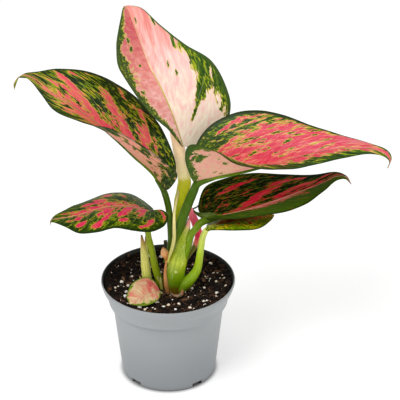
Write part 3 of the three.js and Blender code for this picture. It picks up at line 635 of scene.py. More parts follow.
lowerRightLeaf = {
    "rib": [
        (39, 4, 154), (55, 4, 157), (76, 4, 163), (98, 5, 171), (119, 7, 179),
        (135, 9, 185), (147, 10, 191), (156, 10, 190.6), (160.4, 10, 183.6)],
    "left": [
        (38, 5, 155), (28, 14, 153), (27.6, 26, 158), (33.2, 34, 168), (50, 38, 174.2), (75, 38, 179.4),
        (101, 34, 180.6), (125, 26, 184.4), (146, 17, 192), (156, 11, 191.6), (160.8, 10.6, 183.6)],
    "right": [
        (39, 3, 154), (34, -6, 158), (44, -20, 166), (63, -30, 172), (81, -34, 177), (102, -32, 180),
        (121, -24, 184), (135.7, -12, 189.4), (146.6, 2, 191.4), (155, 8, 189.6), (160.4, 9.4, 183.6)],
    "arch": {"left": [0, 0.05, 0.05, 0.05, 0], "right": [0, 0.05, 0.05, 0.05, 0]},
    "sweep": {"left": [0.9, 0.7, 0.5, 0.3, 0.2], "right": [0.2, 0.25, 0.2]},
    "pinkReach": {
        "left": [0, 0, 0.02, 0.04, 0.04, 0.06, 0.1, 0.1, 0.1, 0.05, 0],
        "right": [0, 0, 0.1, 0.2, 0.25, 0.3, 0.1, 0, 0, 0, 0]},
    "tone": {"left": [0.6, 0.7, 0.8, 0.8, 0.8, 0.75, 0.6, 0.5, 0.5, 0.4, 0.4],
             "right": [0.1, 0.1, 0.1, 0.15, 0.2, 0.2, 0.2, 0.3, 0.4, 0.4, 0.4]},
    "patches": [
        (0.235, -0.65, 0.05, 0.09, 1.0), (0.345, -0.74, 0.045, 0.07, 1.0), (0.265, -0.14, 0.05, 0.09, 1.0),
        (0.32, -0.22, 0.055, 0.09, 1.0), (0.38, -0.3, 0.06, 0.1, 1.0), (0.445, -0.39, 0.062, 0.1, 1.0),
        (0.51, -0.55, 0.06, 0.1, 1.0), (0.6, -0.66, 0.06, 0.12, 1.0), (0.5, -0.14, 0.045, 0.07, 1.0),
        (0.56, -0.2, 0.055, 0.09, 1.0), (0.625, -0.3, 0.055, 0.1, 1.0), (0.69, -0.34, 0.035, 0.12, 0.8),
        (0.785, -0.57, 0.025, 0.14, 0.7), (0.87, -0.35, 0.02, 0.2, 0.6), (0.43, -0.2, 0.024, 0.05, -1.2),
        (0.57, -0.4, 0.02, 0.06, -1.0), (0.105, -0.33, 0.02, 0.1, 0.0), (0.205, -0.45, 0.02, 0.08, 0.0),
        (0.15, -0.25, 0.02, 0.08, -0.05), (0.29, -0.42, 0.016, 0.06, 0.05),
        (0.3, 0.3, 0.06, 0.25, 0.9), (0.39, 0.24, 0.06, 0.2, 0.9), (0.47, 0.14, 0.06, 0.16, 0.9),
        (0.56, 0.14, 0.06, 0.16, 0.8), (0.63, 0.42, 0.03, 0.1, 0.3), (0.5, 0.8, 0.55, 0.36, -1.5),
        (0.75, -0.92, 0.3, 0.12, -1.6)],
    # painted light and shade: the near half's green is lifted lighter, the far half's darkened
    "greenLightAndShade": {"left": [-0.1, -0.15, -0.2, -0.2, 0], "right": [0.1, 0.14, 0.24, 0.34, 0.3]},
    "ribRadii": [1.6, 1.3, 1, 0.7, 0.4],
    "stalks": [
        {"points": [
            (12, -10.5, 114), (16.2, -11.4, 127.2), (18.8, -11.4, 136), (20.8, -11, 144.7), (24.8, -9, 149.6),
            (31, -3.4, 153.8), (48, 4, 155)],
         "radii": [2.6, 3, 3, 3.2, 3.4, 1.8], "sides": 24},
        {"points": [
            (29, 22, 158.4), (25.9, 16, 157.6), (22.2, 12, 157.6), (23.7, 7, 157.8), (28, 2.5, 157.4),
            (34, 1, 156.8), (43, 2.5, 156.4)],
         "radii": [0.6, 0.7, 0.7, 1.1, 2.4, 3.4, 2], "sides": 20}],
    "stalkLooks": [{**greenStalk, "stops": [(0.0, (120, 154, 0)), (0.3, (116, 148, 0)), (0.6, (104, 134, 4)),
        (0.8, (90, 120, 10)), (1.0, (110, 124, 20))], "mottle": 0.25},
        {**greenStalk, "stops": [(0.0, (30, 52, 4)), (0.4, (60, 84, 20)), (0.7, (96, 116, 40)),
            (1.0, (84, 104, 20))]}],
    "look": {
        **plainLook, "darkGreen": (8, 24, 0), "midGreen": (56, 84, 0), "lightGreen": (76, 104, 10),
        "fieldShare": 0.72, "large": 1.3,
        "yellow": (120, 100, 14), "paleEdge": (150, 74, 30), "edgePaint": (40, 58, 0),
        "pinks": [(0.0, (216, 136, 124)), (0.4, (216, 80, 84)), (0.8, (206, 34, 58)), (1.0, (190, 20, 44))],
        "ribPaint": (236, 166, 150), "ribShow": 1.0, "veinPaint": (190, 160, 140), "veinShow": 0.06,
        "rough": 0.45, "shine": 0.02,
        "patchWidth": 3.0, "patchLength": 3.2, "streak": 0.2, "small": 0.85, "fleckSpread": 0.5},
}

underLeaf = {
    "rib": [(34, -6, 150), (48, -7, 153), (63, -8, 157), (79, -9, 160), (93, -10, 163.4)],
    "left": [(34, -5, 149), (36, 9, 145), (50, 19, 148), (68, 18, 152), (83, 7, 159), (93, -9.4, 163.8)],
    "right": [
        (34, -7, 149), (34, -14, 151), (44, -24, 157), (63, -30, 160), (79, -28, 161), (89, -18, 162.6),
        (93, -10.6, 163.4)],
    "arch": {"left": [0, 0.05, 0.05, 0, 0], "right": [0, 0.05, 0.05, 0, 0]},
    "sweep": {"left": [0.1, 0.1], "right": [0.1, 0.1]},
    "pinkReach": {"left": [0, 0.3, 0.4, 0.3, 0], "right": [0, 0.02, 0.05, 0.1, 0]},
    "tone": {"left": [0.5, 0.6, 0.6, 0.5], "right": [0.5, 0.6, 0.6, 0.5]},
    "patches": [
        (0.36, 0.4, 0.035, 0.18, 0.04), (0.45, 0.38, 0.03, 0.18, 0.02), (0.6, 0.1, 0.05, 0.22, 0.6),
        (0.6, 0.46, 0.03, 0.08, 0.3), (0.7, 0.1, 0.03, 0.2, 0.0), (0.3, 0.6, 0.03, 0.1, -0.05)],
    "columns": 22, "ribRadii": [1.5, 1.2, 0.9, 0.5],
    "stalks": [
        {"points": [
            (9, -12, 89), (18, -14, 99), (26, -12, 110), (29, -10, 127), (31, -8, 140), (35, -7, 148),
            (44, -7, 151)],
         "radii": [5.6, 5.2, 4, 3.4, 3.2, 2.8, 1.4], "sides": 24, "groove": 0.14}],
    "stalkLooks": [{
        "stops": [(0.0, (80, 112, 0)), (0.25, (134, 168, 0)), (0.55, (176, 200, 20)), (0.85, (226, 232, 120)),
                  (1.0, (170, 184, 60))],
        "dark": (92, 130, 0), "streaks": 0.5, "mottle": 0.35, "shine": 0.3}],
    "look": {
        **plainLook, "darkGreen": (92, 122, 0), "midGreen": (150, 170, 4), "lightGreen": (200, 190, 10),
        "yellow": (226, 196, 20), "paleEdge": (230, 150, 30), "blot": 2.0,
        "pinks": [(0.0, (226, 120, 50)), (0.5, (190, 60, 30)), (1.0, (160, 30, 30))],
        "ribPaint": (180, 196, 70), "shine": 0.1},
}

lowerLeftLeaf = {
    "rib": [
        (-15, 0, 161), (-27, -2, 167), (-43, -5, 170), (-60, -8, 169), (-77, -12, 165),
        (-91, -16, 164), (-100, -19, 164), (-101, -19, 159)],
    "left": [
        (-14, -2, 162), (-5, -4, 166), (0.6, -11, 164), (-2, -25, 162), (-12, -40, 164.8), (-27, -46, 168.8),
        (-43, -45, 171.2), (-58, -46, 168), (-74, -42, 164), (-87, -32, 164.8), (-99, -21, 163),
        (-101.4, -19.6, 159)],
    "right": [
        (-14, 2, 160), (-13, 14, 157), (-22, 28, 157), (-34, 36, 160), (-47, 36, 161.4), (-62, 30, 161),
        (-76, 16, 162), (-88, 0, 164), (-98, -14, 165), (-101, -18.4, 159)],
    "arch": {"left": [0, 0.08, 0.08, 0.08, 0], "right": [0, 0.05, 0.05, 0.05, 0]},
    "sweep": {"left": [0.45, 0.35, 0.2, 0.1], "right": [0.1, 0.2, 0.25]},
    "pinkReach": {
        "left": [0.1, 0.15, 0.15, 0.12, 0.14, 0.16, 0.16, 0.14, 0.06, 0, 0],
        "right": [0, 0.05, 0.1, 0.12, 0.14, 0.18, 0.18, 0.12, 0.06, 0, 0]},
    "tone": {"left": [0.5, 0.55, 0.6, 0.7, 0.8, 0.8, 0.7, 0.75, 0.6, 0.4, 0.4],
             "right": [0.5, 0.5, 0.5, 0.5, 0.55, 0.7, 0.8, 0.7, 0.5, 0.4, 0.4]},
    "patches": [
        (0.2, -0.36, 0.05, 0.24, 1.0), (0.34, -0.4, 0.042, 0.24, 1.0), (0.26, -0.15, 0.04, 0.12, 0.9),
        (0.45, -0.33, 0.075, 0.22, 1.0), (0.485, -0.6, 0.035, 0.13, 1.0), (0.56, -0.77, 0.04, 0.12, 1.0),
        (0.39, -0.7, 0.035, 0.07, 0.6), (0.22, -0.77, 0.035, 0.12, 1.0), (0.055, -0.75, 0.03, 0.15, 1.0),
        (0.675, -0.65, 0.05, 0.15, 1.0), (0.8, -0.5, 0.03, 0.2, 0.6), (0.685, -0.3, 0.05, 0.12, 0.9),
        (0.44, -0.58, 0.018, 0.1, -1.2), (0.6, -0.47, 0.02, 0.12, -0.8), (0.275, -0.5, 0.012, 0.15, -0.9),
        (0.4, -0.3, 0.01, 0.2, -0.8), (0.13, -0.45, 0.03, 0.25, -1.2), (0.3, -0.85, 0.03, 0.06, 0.1),
        (0.1, -0.9, 0.02, 0.05, 0.1), (0.7, -0.85, 0.03, 0.05, 0.05),
        (0.635, 0.07, 0.07, 0.12, 1.0), (0.575, 0.43, 0.06, 0.14, 1.0), (0.445, 0.38, 0.06, 0.16, 1.0),
        (0.395, 0.67, 0.035, 0.12, 1.0), (0.53, 0.1, 0.03, 0.1, 0.9), (0.35, 0.12, 0.12, 0.08, 0.6),
        (0.2, 0.1, 0.08, 0.08, 0.6), (0.265, 0.47, 0.02, 0.08, 0.1), (0.2, 0.53, 0.02, 0.1, 0.05),
        (0.72, 0.3, 0.03, 0.16, 0.4), (0.8, 0.4, 0.02, 0.2, 0.05), (0.5, 0.55, 0.02, 0.08, 0.8)],
    "ribRadii": [1.5, 1.3, 1, 0.7, 0.4],
    "stalks": [
        {"points": [
            (-7, -4, 77), (-7, -4, 91), (-11, -4, 107), (-14, -3, 125), (-17, -2, 141), (-17, -1, 157),
            (-24, -2, 165)],
         "radii": [3.6, 3.6, 3.4, 3, 2.8, 2.8, 1.6], "groove": 0.1}],
    "stalkLooks": [{
        "stops": [(0.0, (96, 104, 0)), (0.15, (124, 146, 0)), (0.5, (164, 184, 6)), (0.85, (156, 184, 14)),
            (1.0, (160, 164, 40))],
        "dark": (84, 110, 0), "streaks": 0.55, "mottle": 0.4, "shine": 0.25}],
    "look": {
        **plainLook, "darkGreen": (26, 50, 0), "midGreen": (66, 90, 4), "lightGreen": (116, 134, 8),
        "fieldShare": 0.78, "yellow": (166, 152, 30), "paleEdge": (200, 120, 60),
        "pinks": [(0.0, (226, 150, 126)), (0.4, (206, 88, 86)), (0.75, (214, 46, 84)), (1.0, (200, 28, 76))],
        "ribPaint": (226, 170, 150), "ribShow": 0.9, "rough": 0.42, "shine": 0.06},
}

smallLeaf = {
    "rib": [(-7, -14, 89), (-15, -20, 91), (-23, -28, 91), (-33, -36, 89)],
    "left": [(-6.6, -15, 89), (-7, -27, 90), (-12, -37, 91), (-21, -42, 91), (-32.6, -36.6, 89)],
    "right": [(-7.4, -13, 89.4), (-13, -8, 97), (-22, -8, 99), (-32, -14, 96), (-36, -26, 91),
        (-33.4, -35.4, 89.4)],
    "arch": {"left": [0, 0.06, 0.06, 0.04, 0], "right": [0, 0.06, 0.06, 0.04, 0]},
    "sweep": {"left": [0.1, 0.1], "right": [0.1, 0.1]},
    "pinkReach": {"left": [0.7, 0.8, 0.85, 0.8, 0.75, 0.5], "right": [0.8, 0.9, 0.92, 0.85, 0.8, 0.6]},
    "tone": {"left": [0.4, 0.35, 0.25, 0.2, 0.2], "right": [0.9, 0.5, 0.25, 0.3, 0.2]},
    "patches": [
        (0.62, -0.5, 0.06, 0.14, 0.1), (0.26, 0.35, 0.03, 0.08, 0.12), (0.8, 0.6, 0.05, 0.1, -0.2),
        (0.5, -0.72, 0.06, 0.06, 0.05), (0.64, 0.5, 0.02, 0.06, 0.1), (0.2, 0.55, 0.03, 0.2, 0.1)],
    "columns": 22, "wave": 0.3, "ribRadii": [0.8, 0.7, 0.5, 0.3],
    "stalks": [{"points": [(-4, -17, 77), (-4, -17, 84), (-6.5, -15.5, 88.2), (-14, -20, 90.2)],
        "radii": [1.4, 1.4, 1.3, 0.6]}],
    "stalkLooks": [{**greenStalk, "stops": [(0.0, (110, 124, 40)), (1.0, (196, 190, 130))]}],
    "look": {
        **plainLook, "darkGreen": (84, 114, 4), "midGreen": (120, 140, 30), "lightGreen": (150, 160, 40),
        "fieldShare": 0.9, "yellow": (190, 186, 110), "paleEdge": (220, 196, 146),
        "pinks": [(0.0, (222, 196, 152)), (0.35, (216, 166, 132)), (0.6, (222, 128, 108)),
            (1.0, (204, 84, 84))],
        "fineTone": 1.3, "softTone": 1.5, "patchTone": 0.5, "ribPaint": (226, 176, 150), "ribShow": 0.25,
        "veinShow": 0.02, "edgePaint": (112, 134, 34), "underPaint": (190, 190, 130)},
}

makeLeaf("leafTop", topLeaf, "leaf_top", 3.0)
makeLeaf("leafLeft", leftLeaf, "leaf_left", 11.0)
makeLeaf("leafRight", rightLeaf, "leaf_right", 23.0)
makeLeaf("leafLowerRight", lowerRightLeaf, "leaf_lower_right", 37.0)
makeLeaf("leafUnderRight", underLeaf, "leaf_under_right", 41.0)
makeLeaf("leafLowerLeft", lowerLeftLeaf, "leaf_lower_left", 53.0)
makeLeaf("leafSmall", smallLeaf, "leaf_small", 67.0)


# stem, shoot and scales

def eyeScar(place, size, material):
    # the round scar of an old leaf, low on the stem
    (x, y, z), (wide, proud) = place, size
    points = [(x, y + 1, z), (x, y, z), (x, y - proud, z + 0.2)]
    return tube(points, [wide, wide * 1.1, wide * 0.5], sides=20, step=0.3, lumps=0.1, material=material,
        seed=5.0)


mainStem = {
    "points": [(6, -10, 76), (6.4, -10, 92), (7, -10, 108), (11, -9, 127), (15, -8, 142), (18, -8, 152),
        (19, -8, 160)],
    "radii": [8, 8.3, 8.4, 8, 6, 3.2, 0.6],
    "budPoints": [(-1.2, -12, 117), (-1, -11.6, 120.6), (-1.8, -11, 123.6), (-2.9, -10.4, 127),
        (-3.6, -10, 130), (-3.7, -9.8, 131.4)],
    "budRadii": [1.1, 1.3, 2.7, 3.8, 2.9, 0.8],
    "stripPoints": [(-0.6, -14, 121), (-1.8, -15, 114), (-2.2, -15, 106), (-1.4, -15.6, 97), (0.6, -16, 86)],
    "stripRadii": [0.8, 1.2, 1.6, 2, 1.6],
    "scarPlace": (7.4, -18.6, 111), "scarSize": (1.5, 0.7),
    "curlPoints": [(2.6, -19, 90.5), (5.4, -20.6, 88.8), (9, -21, 88.4), (12, -20, 90), (13, -18.4, 93)],
    "curlRadii": [0.8, 1.3, 1.6, 1.3, 0.6],
}
stemMaterial = stalkMaterial("stemGreen", [
    (0.0, (70, 36, 10)), (0.2, (96, 70, 12)), (0.25, (88, 120, 0)), (0.36, (124, 160, 0)),
    (0.5, (196, 210, 40)), (0.62, (150, 172, 10)), (0.8, (150, 166, 20)), (0.88, (186, 180, 90)),
    (0.93, (240, 150, 140)), (1.0, (244, 130, 140))],
    dark=(70, 100, 0), streaks=0.4, mottle=0.5, rough=0.2, shine=0.5, wide=0.6)
budMaterial = stalkMaterial("budOrange", [
    (0.0, (160, 110, 40)), (0.3, (206, 130, 50)), (0.6, (246, 176, 110)), (0.9, (250, 190, 130)),
    (1.0, (206, 130, 70))],
    dark=(176, 96, 30), streaks=0.4)
stripMaterial = stalkMaterial("scarTan", [
    (0.0, (226, 150, 84)), (0.5, (216, 150, 90)), (0.8, (160, 110, 50)), (1.0, (90, 56, 22))],
    dark=(130, 80, 30), streaks=0.5, rough=0.55)
eyeMaterial = stalkMaterial("eyePale", [(0.0, (206, 220, 130)), (1.0, (190, 206, 110))], dark=(120, 150, 30))
curlMaterial = stalkMaterial("curlBrown",
    [(0.0, (70, 44, 14)), (0.3, (130, 84, 26)), (0.6, (90, 70, 24)), (1.0, (176, 104, 36))],
    dark=(40, 20, 6), streaks=0.7, mottle=0.6, rough=0.4)
makePiece("mainStem", [
    tube(mainStem["points"], mainStem["radii"], sides=56, step=1.0, roll=0.09, lumps=0.03, seed=2.0),
    tube(mainStem["budPoints"], mainStem["budRadii"], sides=24, step=0.7, lumps=0.08, material=1, seed=4.0),
    tube(mainStem["stripPoints"], mainStem["stripRadii"], sides=20, step=1.0, flat=0.5, lumps=0.2, material=2,
        seed=6.0),
    eyeScar(mainStem["scarPlace"], mainStem["scarSize"], 3),
    tube(mainStem["curlPoints"], mainStem["curlRadii"], sides=20, step=0.7, flat=0.45, flatWay=(0, -0.6, 0.8),
        lumps=0.3, roll=0.5, material=4, seed=7.0),
], [stemMaterial, budMaterial, stripMaterial, eyeMaterial, curlMaterial], ["main_stem"])

sideShoot = {
    "points": [(-18.6, 0, 77), (-18.8, 0, 90), (-19.8, 0, 104), (-21, 0, 121), (-23, 0, 138)],
    "radii": [4, 4.2, 3.8, 2.8, 0.7],
    "secondPoints": [(-19, 0.5, 100), (-19, 1, 118), (-19.4, 1, 136)],
    "secondRadii": [2.6, 2, 0.6],
    "flapPoints": [(-21.4, -2.6, 88), (-23.6, -3, 93), (-25.4, -3, 98)],
    "flapRadii": [1.6, 1.2, 0.3],
}
shootMaterial = stalkMaterial("shootPale", [
    (0.0, (190, 200, 40)), (0.2, (220, 228, 80)), (0.45, (250, 248, 136)), (0.75, (240, 230, 130)),
    (0.9, (206, 160, 90)), (1.0, (120, 60, 34))],
    # the small emission is painted light that brightens the shoot
    dark=(160, 172, 30), streaks=0.7, mottle=0.3, shine=0.2, paintedGlow=0.05)
makePiece("sideShoot", [
    tube(sideShoot["points"], sideShoot["radii"], sides=28, step=1.0, roll=0.12, seed=8.0),
    tube(sideShoot["secondPoints"], sideShoot["secondRadii"], sides=20, step=1.0, roll=0.1, seed=9.0),
    tube(sideShoot["flapPoints"], sideShoot["flapRadii"], sides=16, step=0.8, flat=0.5, seed=10.0),
], [shootMaterial], ["side_shoot"])

dryScale = {
    "points": [(-5, -10.6, 77), (-5.4, -10.6, 90), (-6.6, -10.6, 101)],
    "radii": [1.7, 1.6, 0.6],
    "secondPoints": [(-5.6, -10.6, 90), (-8, -10, 97), (-9.4, -9.4, 101)],
    "secondRadii": [1, 0.9, 0.5],
}
scaleMaterial = stalkMaterial("scaleTan",
    [(0.0, (96, 84, 14)), (0.4, (124, 124, 30)), (0.75, (160, 166, 70)), (1.0, (190, 186, 120))],
    dark=(80, 76, 16), streaks=0.6, rough=0.6)
makePiece("dryScale", [
    tube(dryScale["points"], dryScale["radii"], sides=18, step=0.8, flat=0.45, lumps=0.25, seed=12.0),
    tube(dryScale["secondPoints"], dryScale["secondRadii"], sides=14, step=0.8, flat=0.5, lumps=0.25,
        seed=13.0),
], [scaleMaterial], ["dry_scale"])

youngLeaf = {
    "points": [(15, -3, 112), (22, 3, 121), (26.8, 6, 131), (26.6, 7, 139), (24.2, 7, 148), (21.4, 7, 155),
        (21, 7, 162)],
    "radii": [1.2, 1.6, 2.6, 3.1, 3.3, 3.2, 0.7],
}
youngMaterial = stalkMaterial("youngPink", [
    (0.0, (60, 80, 10)), (0.3, (96, 110, 30)), (0.36, (240, 130, 110)), (0.46, (226, 40, 80)),
    (0.66, (220, 50, 84)), (0.85, (240, 104, 124)), (1.0, (246, 130, 140))],
    # the emission is painted light that brightens the young leaf, which lies in shade
    dark=(170, 10, 50), streaks=0.45, mottle=0.3, shine=0.2, paintedGlow=0.25)
makePiece("youngLeaf", [
    tube(youngLeaf["points"], youngLeaf["radii"], sides=28, step=1.0, roll=0.15, seed=14.0),
], [youngMaterial], ["leaf_young"])

backStub = {"points": [(-1, 38, 77), (-1.5, 39, 94), (-3, 40, 109)], "radii": [2.6, 2.4, 1.7]}
stubMaterial = stalkMaterial("stubGreen", [(0.0, (60, 76, 24)), (0.8, (52, 68, 22)), (1.0, (80, 76, 40))],
    dark=(30, 44, 10))
makePiece("backStub", [
    tube(backStub["points"], backStub["radii"], sides=20, step=1.0, lumps=0.08, seed=15.0),
], [stubMaterial], ["back_stub"])


# soil

soil = {
    "top": 86, "floor": 5.8, "radius": 56.8, "smoothFrom": 56, "smoothOver": 3, "seed": 7,
    "fibres": 190, "fibreReach": 50, "fibreBound": 53, "fibreLength": (3, 9),
    "side": [(38.4, 5.8), (41, 7.6), (47, 61.6), (48.4, 73.6), (51.6, 74.8), (52.4, 79.6), (53.8, 84),
        (56.7, 91)],
    "rings": 60, "segments": 168,
    "crumbs": dict(count=2300, sizes=(0.5, 2.0), stretch=(0.9, 1.7), lift=0.1, jagged=0.5),
    "edgeCrumbs": dict(count=420, sizes=(0.7, 2.1), stretch=(0.9, 1.6), lift=0.6, jagged=0.5, reach=55.6,
        start=52.4),
    "perlite": dict(count=150, sizes=(0.5, 1.9), stretch=(0.9, 1.3), lift=0.45, jagged=0.3),
    "specks": dict(count=170, sizes=(0.25, 0.6), stretch=(0.9, 1.3), lift=1.2, jagged=0.3),
    "bark": dict(count=70, sizes=(0.8, 1.9), stretch=(1.6, 3.0), lift=0.2, jagged=0.4),
}
soilRandom = random.Random(soil["seed"])


def soilHeight(x, y):
    heap = 4 * math.exp(-((x + 44) ** 2 + (y - 24) ** 2) / 160)
    mound = 1.2 * math.exp(-((x - 4) ** 2 + (y + 8) ** 2) / 300)
    ripple = 0.5 * math.sin(0.31 * x + 1) * math.cos(0.27 * y) + 0.35 * math.sin(0.19 * (x + y))
    bank = 5.2 * (math.hypot(x, y) / soil["radius"]) ** 6
    return soil["top"] + heap + mound + ripple + bank


def soilBody():
    # up the side, then in over the top to the middle
    count, segments, brim = soil["rings"], soil["segments"], soil["side"][-1][0]
    profile = [(0, soil["floor"]), *soil["side"]]
    profile += [(brim * (1 - k / count), None) for k in range(1, count + 1)]
    points = []
    for radius, height in profile:
        for j in range(segments):
            x, y = radius * math.cos(fullTurn * j / segments), radius * math.sin(fullTurn * j / segments)
            z = height
            if height is None:
                rough = 0.9 * noise.noise(Vector((x, y, 0)) / 2.2) + 0.9 * noise.noise(Vector((x, y, 4)) / 5)
                z = soilHeight(x, y) + rough * min(1, (soil["smoothFrom"] - radius) / soil["smoothOver"])
            points.append((x, y, z))
    return {"points": np.array(points), "faces": gridFaces(len(profile), segments, closed=True),
            "values": {"chip": np.full(len(points), 0.3)}}


def icoBall():
    # a ball of 80 triangles to make crumbs from
    ball = bmesh.new()
    bmesh.ops.create_icosphere(ball, subdivisions=2, radius=1)
    points = np.array([v.co[:] for v in ball.verts])
    faces = [[v.index for v in f.verts] for f in ball.faces]
    ball.free()
    return points, faces


def scatter(count, sizes, stretch, lift, jagged, reach=54, start=0):
    # grains of random size and turn, spread over a ring from start out to reach
    base, faces = icoBall()
    parts = []
    for _ in range(count):
        size = sizes[0] + (sizes[1] - sizes[0]) * soilRandom.random() ** 2.2
        angle = soilRandom.uniform(0, fullTurn)
        out = math.sqrt(soilRandom.uniform((start / reach) ** 2, 1)) * reach
        x, y = out * math.cos(angle), out * math.sin(angle)
        shift = soilRandom.uniform(0, 90)
        bump = np.array([1 + jagged * noise.noise(Vector(p) * 1.6 + Vector((shift, 0, 0))) for p in base])
        scale = [size * soilRandom.uniform(*stretch), size, size * soilRandom.uniform(0.5, 0.9)]
        turned = base * bump[:, None] * scale
        a, b = soilRandom.uniform(0, 6.28), soilRandom.uniform(-0.6, 0.6)
        tilt = np.array([[1, 0, 0], [0, math.cos(b), -math.sin(b)], [0, math.sin(b), math.cos(b)]])
        spin = np.array([[math.cos(a), -math.sin(a), 0], [math.sin(a), math.cos(a), 0], [0, 0, 1]])
        turned = turned @ tilt.T @ spin.T + [x, y, soilHeight(x, y) + lift * size]
        parts.append({"points": turned, "faces": faces,
            "values": {"chip": np.full(len(base), soilRandom.random())}})
    return parts


def fibres(count):
    parts, bound = [], soil["fibreBound"]
    for _ in range(count):
        angle, out = soilRandom.uniform(0, fullTurn), soil["fibreReach"] * math.sqrt(soilRandom.random())
        x, y = out * math.cos(angle), out * math.sin(angle)
        way, length = soilRandom.uniform(0, 6.28), soilRandom.uniform(*soil["fibreLength"])
        points = []
        for k in range(5):
            bend = way + 0.5 * math.sin(k + soilRandom.uniform(-1, 1) * k)
            px, py = x + (k - 2) * length / 4 * math.cos(bend), y + (k - 2) * length / 4 * math.sin(bend)
            px, py = px * min(1, bound / math.hypot(px, py)), py * min(1, bound / math.hypot(px, py))
            points.append((px, py, soilHeight(px, py) + soilRandom.uniform(0.1, 1.6)))
        part = tube(points, [0.1, 0.2, 0.2, 0.1], sides=6, step=0.9, flatWay=(0, 0, 1), lumps=0)
        part["values"] = {"chip": np.full(len(part["points"]), soilRandom.random())}
        parts.append(part)
    return parts


def peatBuild(tree):
    chip, fine = read(tree, "chip"), spaceGrain(tree, 1400, 5.0, 0.7)
    wide = spaceGrain(tree, 160, 3.0)
    shade = calc(tree, "MULTIPLY_ADD", calc(tree, "SUBTRACT", fine, 0.5), 0.7,
        times(tree, plus(tree, chip, wide), 0.55))
    colour = ramp(tree, shade, [(0.3, (6, 2, 0)), (0.58, (22, 10, 3)), (0.78, (52, 30, 16)),
        (0.98, (120, 84, 52))])
    return {"Base Color": colour, "Roughness": 0.9, "Specular IOR Level": 0.25, "height": fine, "depth": 0.6}


def chipMaterial(name, scale, grainRough, stops, rough):
    # perlite and bark: every chip has its own shade
    def build(tree):
        chip, fine = read(tree, "chip"), spaceGrain(tree, scale, 4.0, grainRough)
        colour = ramp(tree, calc(tree, "MULTIPLY_ADD", fine, 0.5, times(tree, chip, 0.5)), stops)
        return {"Base Color": colour, "Roughness": rough, "height": fine, "depth": 0.4}
    return finishMaterial(name, build)


peatMaterial = finishMaterial("peatDark", peatBuild)
perliteMaterial = chipMaterial(
    "perliteWhite", 1500, 0.6, [(0.15, (190, 160, 130)), (0.36, (246, 226, 200)), (0.6, (255, 250, 240))], 0.85)
barkMaterial = chipMaterial("barkBrown", 1100, 0.7,
    [(0.1, (48, 26, 12)), (0.5, (98, 62, 34)), (0.9, (150, 112, 76))], 0.8)
makePiece("soilBody", [soilBody()], [peatMaterial], ["soil"])
makePiece("soilCrumbs", scatter(**soil["crumbs"]), [peatMaterial])
makePiece("soilEdge", scatter(**soil["edgeCrumbs"]), [peatMaterial])
makePiece("soilPerlite", scatter(**soil["perlite"]) + scatter(**soil["specks"]), [perliteMaterial])
makePiece("soilBark", scatter(**soil["bark"]), [barkMaterial])
makePiece("soilFibres", fibres(soil["fibres"]), [barkMaterial])


# pot

pot = {
    "outer": [(41.2, 0), (42.3, 1.4), (43, 6), (48.8, 60), (50.2, 71.8), (53.4, 73), (54.3, 78), (55.7, 82),
        (58.2, 86.5), (60, 92.6)],
    "wall": 1.4, "innerRise": 1.3, "floor": 5.4, "height": 94, "segments": 180,
    "channel": (13, 34, 3.4), "holes": (8, 2.6, 25),
    "notches": (52, 133, 227, 308), "notchSize": (10.6, 4.6), "notchFrom": 35, "notchTo": 46,
    "cornerRadius": 0.5, "holeSides": 24,
    # the second grey is painted shade low on the pot
    "grey": (152, 156, 158), "greyShadeLow": (132, 136, 139), "greyClouds": (138, 143, 147),
    # the inside grey is partly the pot's own darker plastic, partly painted shade
    "greyInsideAndShade": (48, 52, 48), "greyNotch": (14, 15, 15), "lip": (59.6, 59),
}


def roundCorners(profile, radius, steps=4):
    # each corner of the profile becomes a short arc
    made = [profile[0]]
    for before, here, after in zip(profile, profile[1:], profile[2:]):
        b, h, a = (np.array(p, float) for p in (before, here, after))
        back, on = h - b, a - h
        cut = min(radius, np.linalg.norm(back) * 0.45, np.linalg.norm(on) * 0.45)
        first, last = h - back / np.linalg.norm(back) * cut, h + on / np.linalg.norm(on) * cut
        for t in np.linspace(0, 1, steps + 1):
            made.append(tuple((1 - t) ** 2 * first + 2 * t * (1 - t) * h + t * t * last))
    made.append(profile[-1])
    return made


def densify(profile, step):
    made = []
    for a, b in zip(profile, profile[1:]):
        n = max(1, int(math.dist(a, b) / step))
        made += [(a[0] + (b[0] - a[0]) * k / n, a[1] + (b[1] - a[1]) * k / n) for k in range(n)]
    return made + [profile[-1]]


def potBody():
    outer, wall = pot["outer"], pot["wall"]
    inner, far, depth = pot["channel"]
    inside = [(outer[0][0] - 1.5 * wall, pot["floor"])]
    inside += [(r - wall, z + pot["innerRise"]) for r, z in outer[2:]]
    profile = [(0.01, 0), (inner, 0), (inner + 0.6, depth), (far - 0.6, depth), (far, 0), *outer]
    profile += [*((r, pot["height"]) for r in pot["lip"]), *inside[::-1], (0.01, pot["floor"])]
    profile = densify(roundCorners(profile, pot["cornerRadius"]), 6)
    segments = pot["segments"]
    angle = fullTurn * np.arange(segments) / segments
    ring = np.stack([np.cos(angle), np.sin(angle)], -1)
    points = np.vstack([np.column_stack([ring * r, np.full(segments, z)]) for r, z in profile])
    lip = max(range(len(profile)), key=lambda k: profile[k][1])
    inner = np.repeat([1.0 if k > lip + 3 else 0.0 for k in range(len(profile))], segments)
    return {"points": points, "faces": gridFaces(len(profile), segments, closed=True),
        "values": {"inner": inner}}


def cutter(points, faces):
    mesh = bpy.data.meshes.new("cut")
    mesh.from_pydata((np.array(points) * mm).tolist(), [], faces)
    made = bpy.data.objects.new("cut", mesh)
    bpy.context.scene.collection.objects.link(made)
    return made


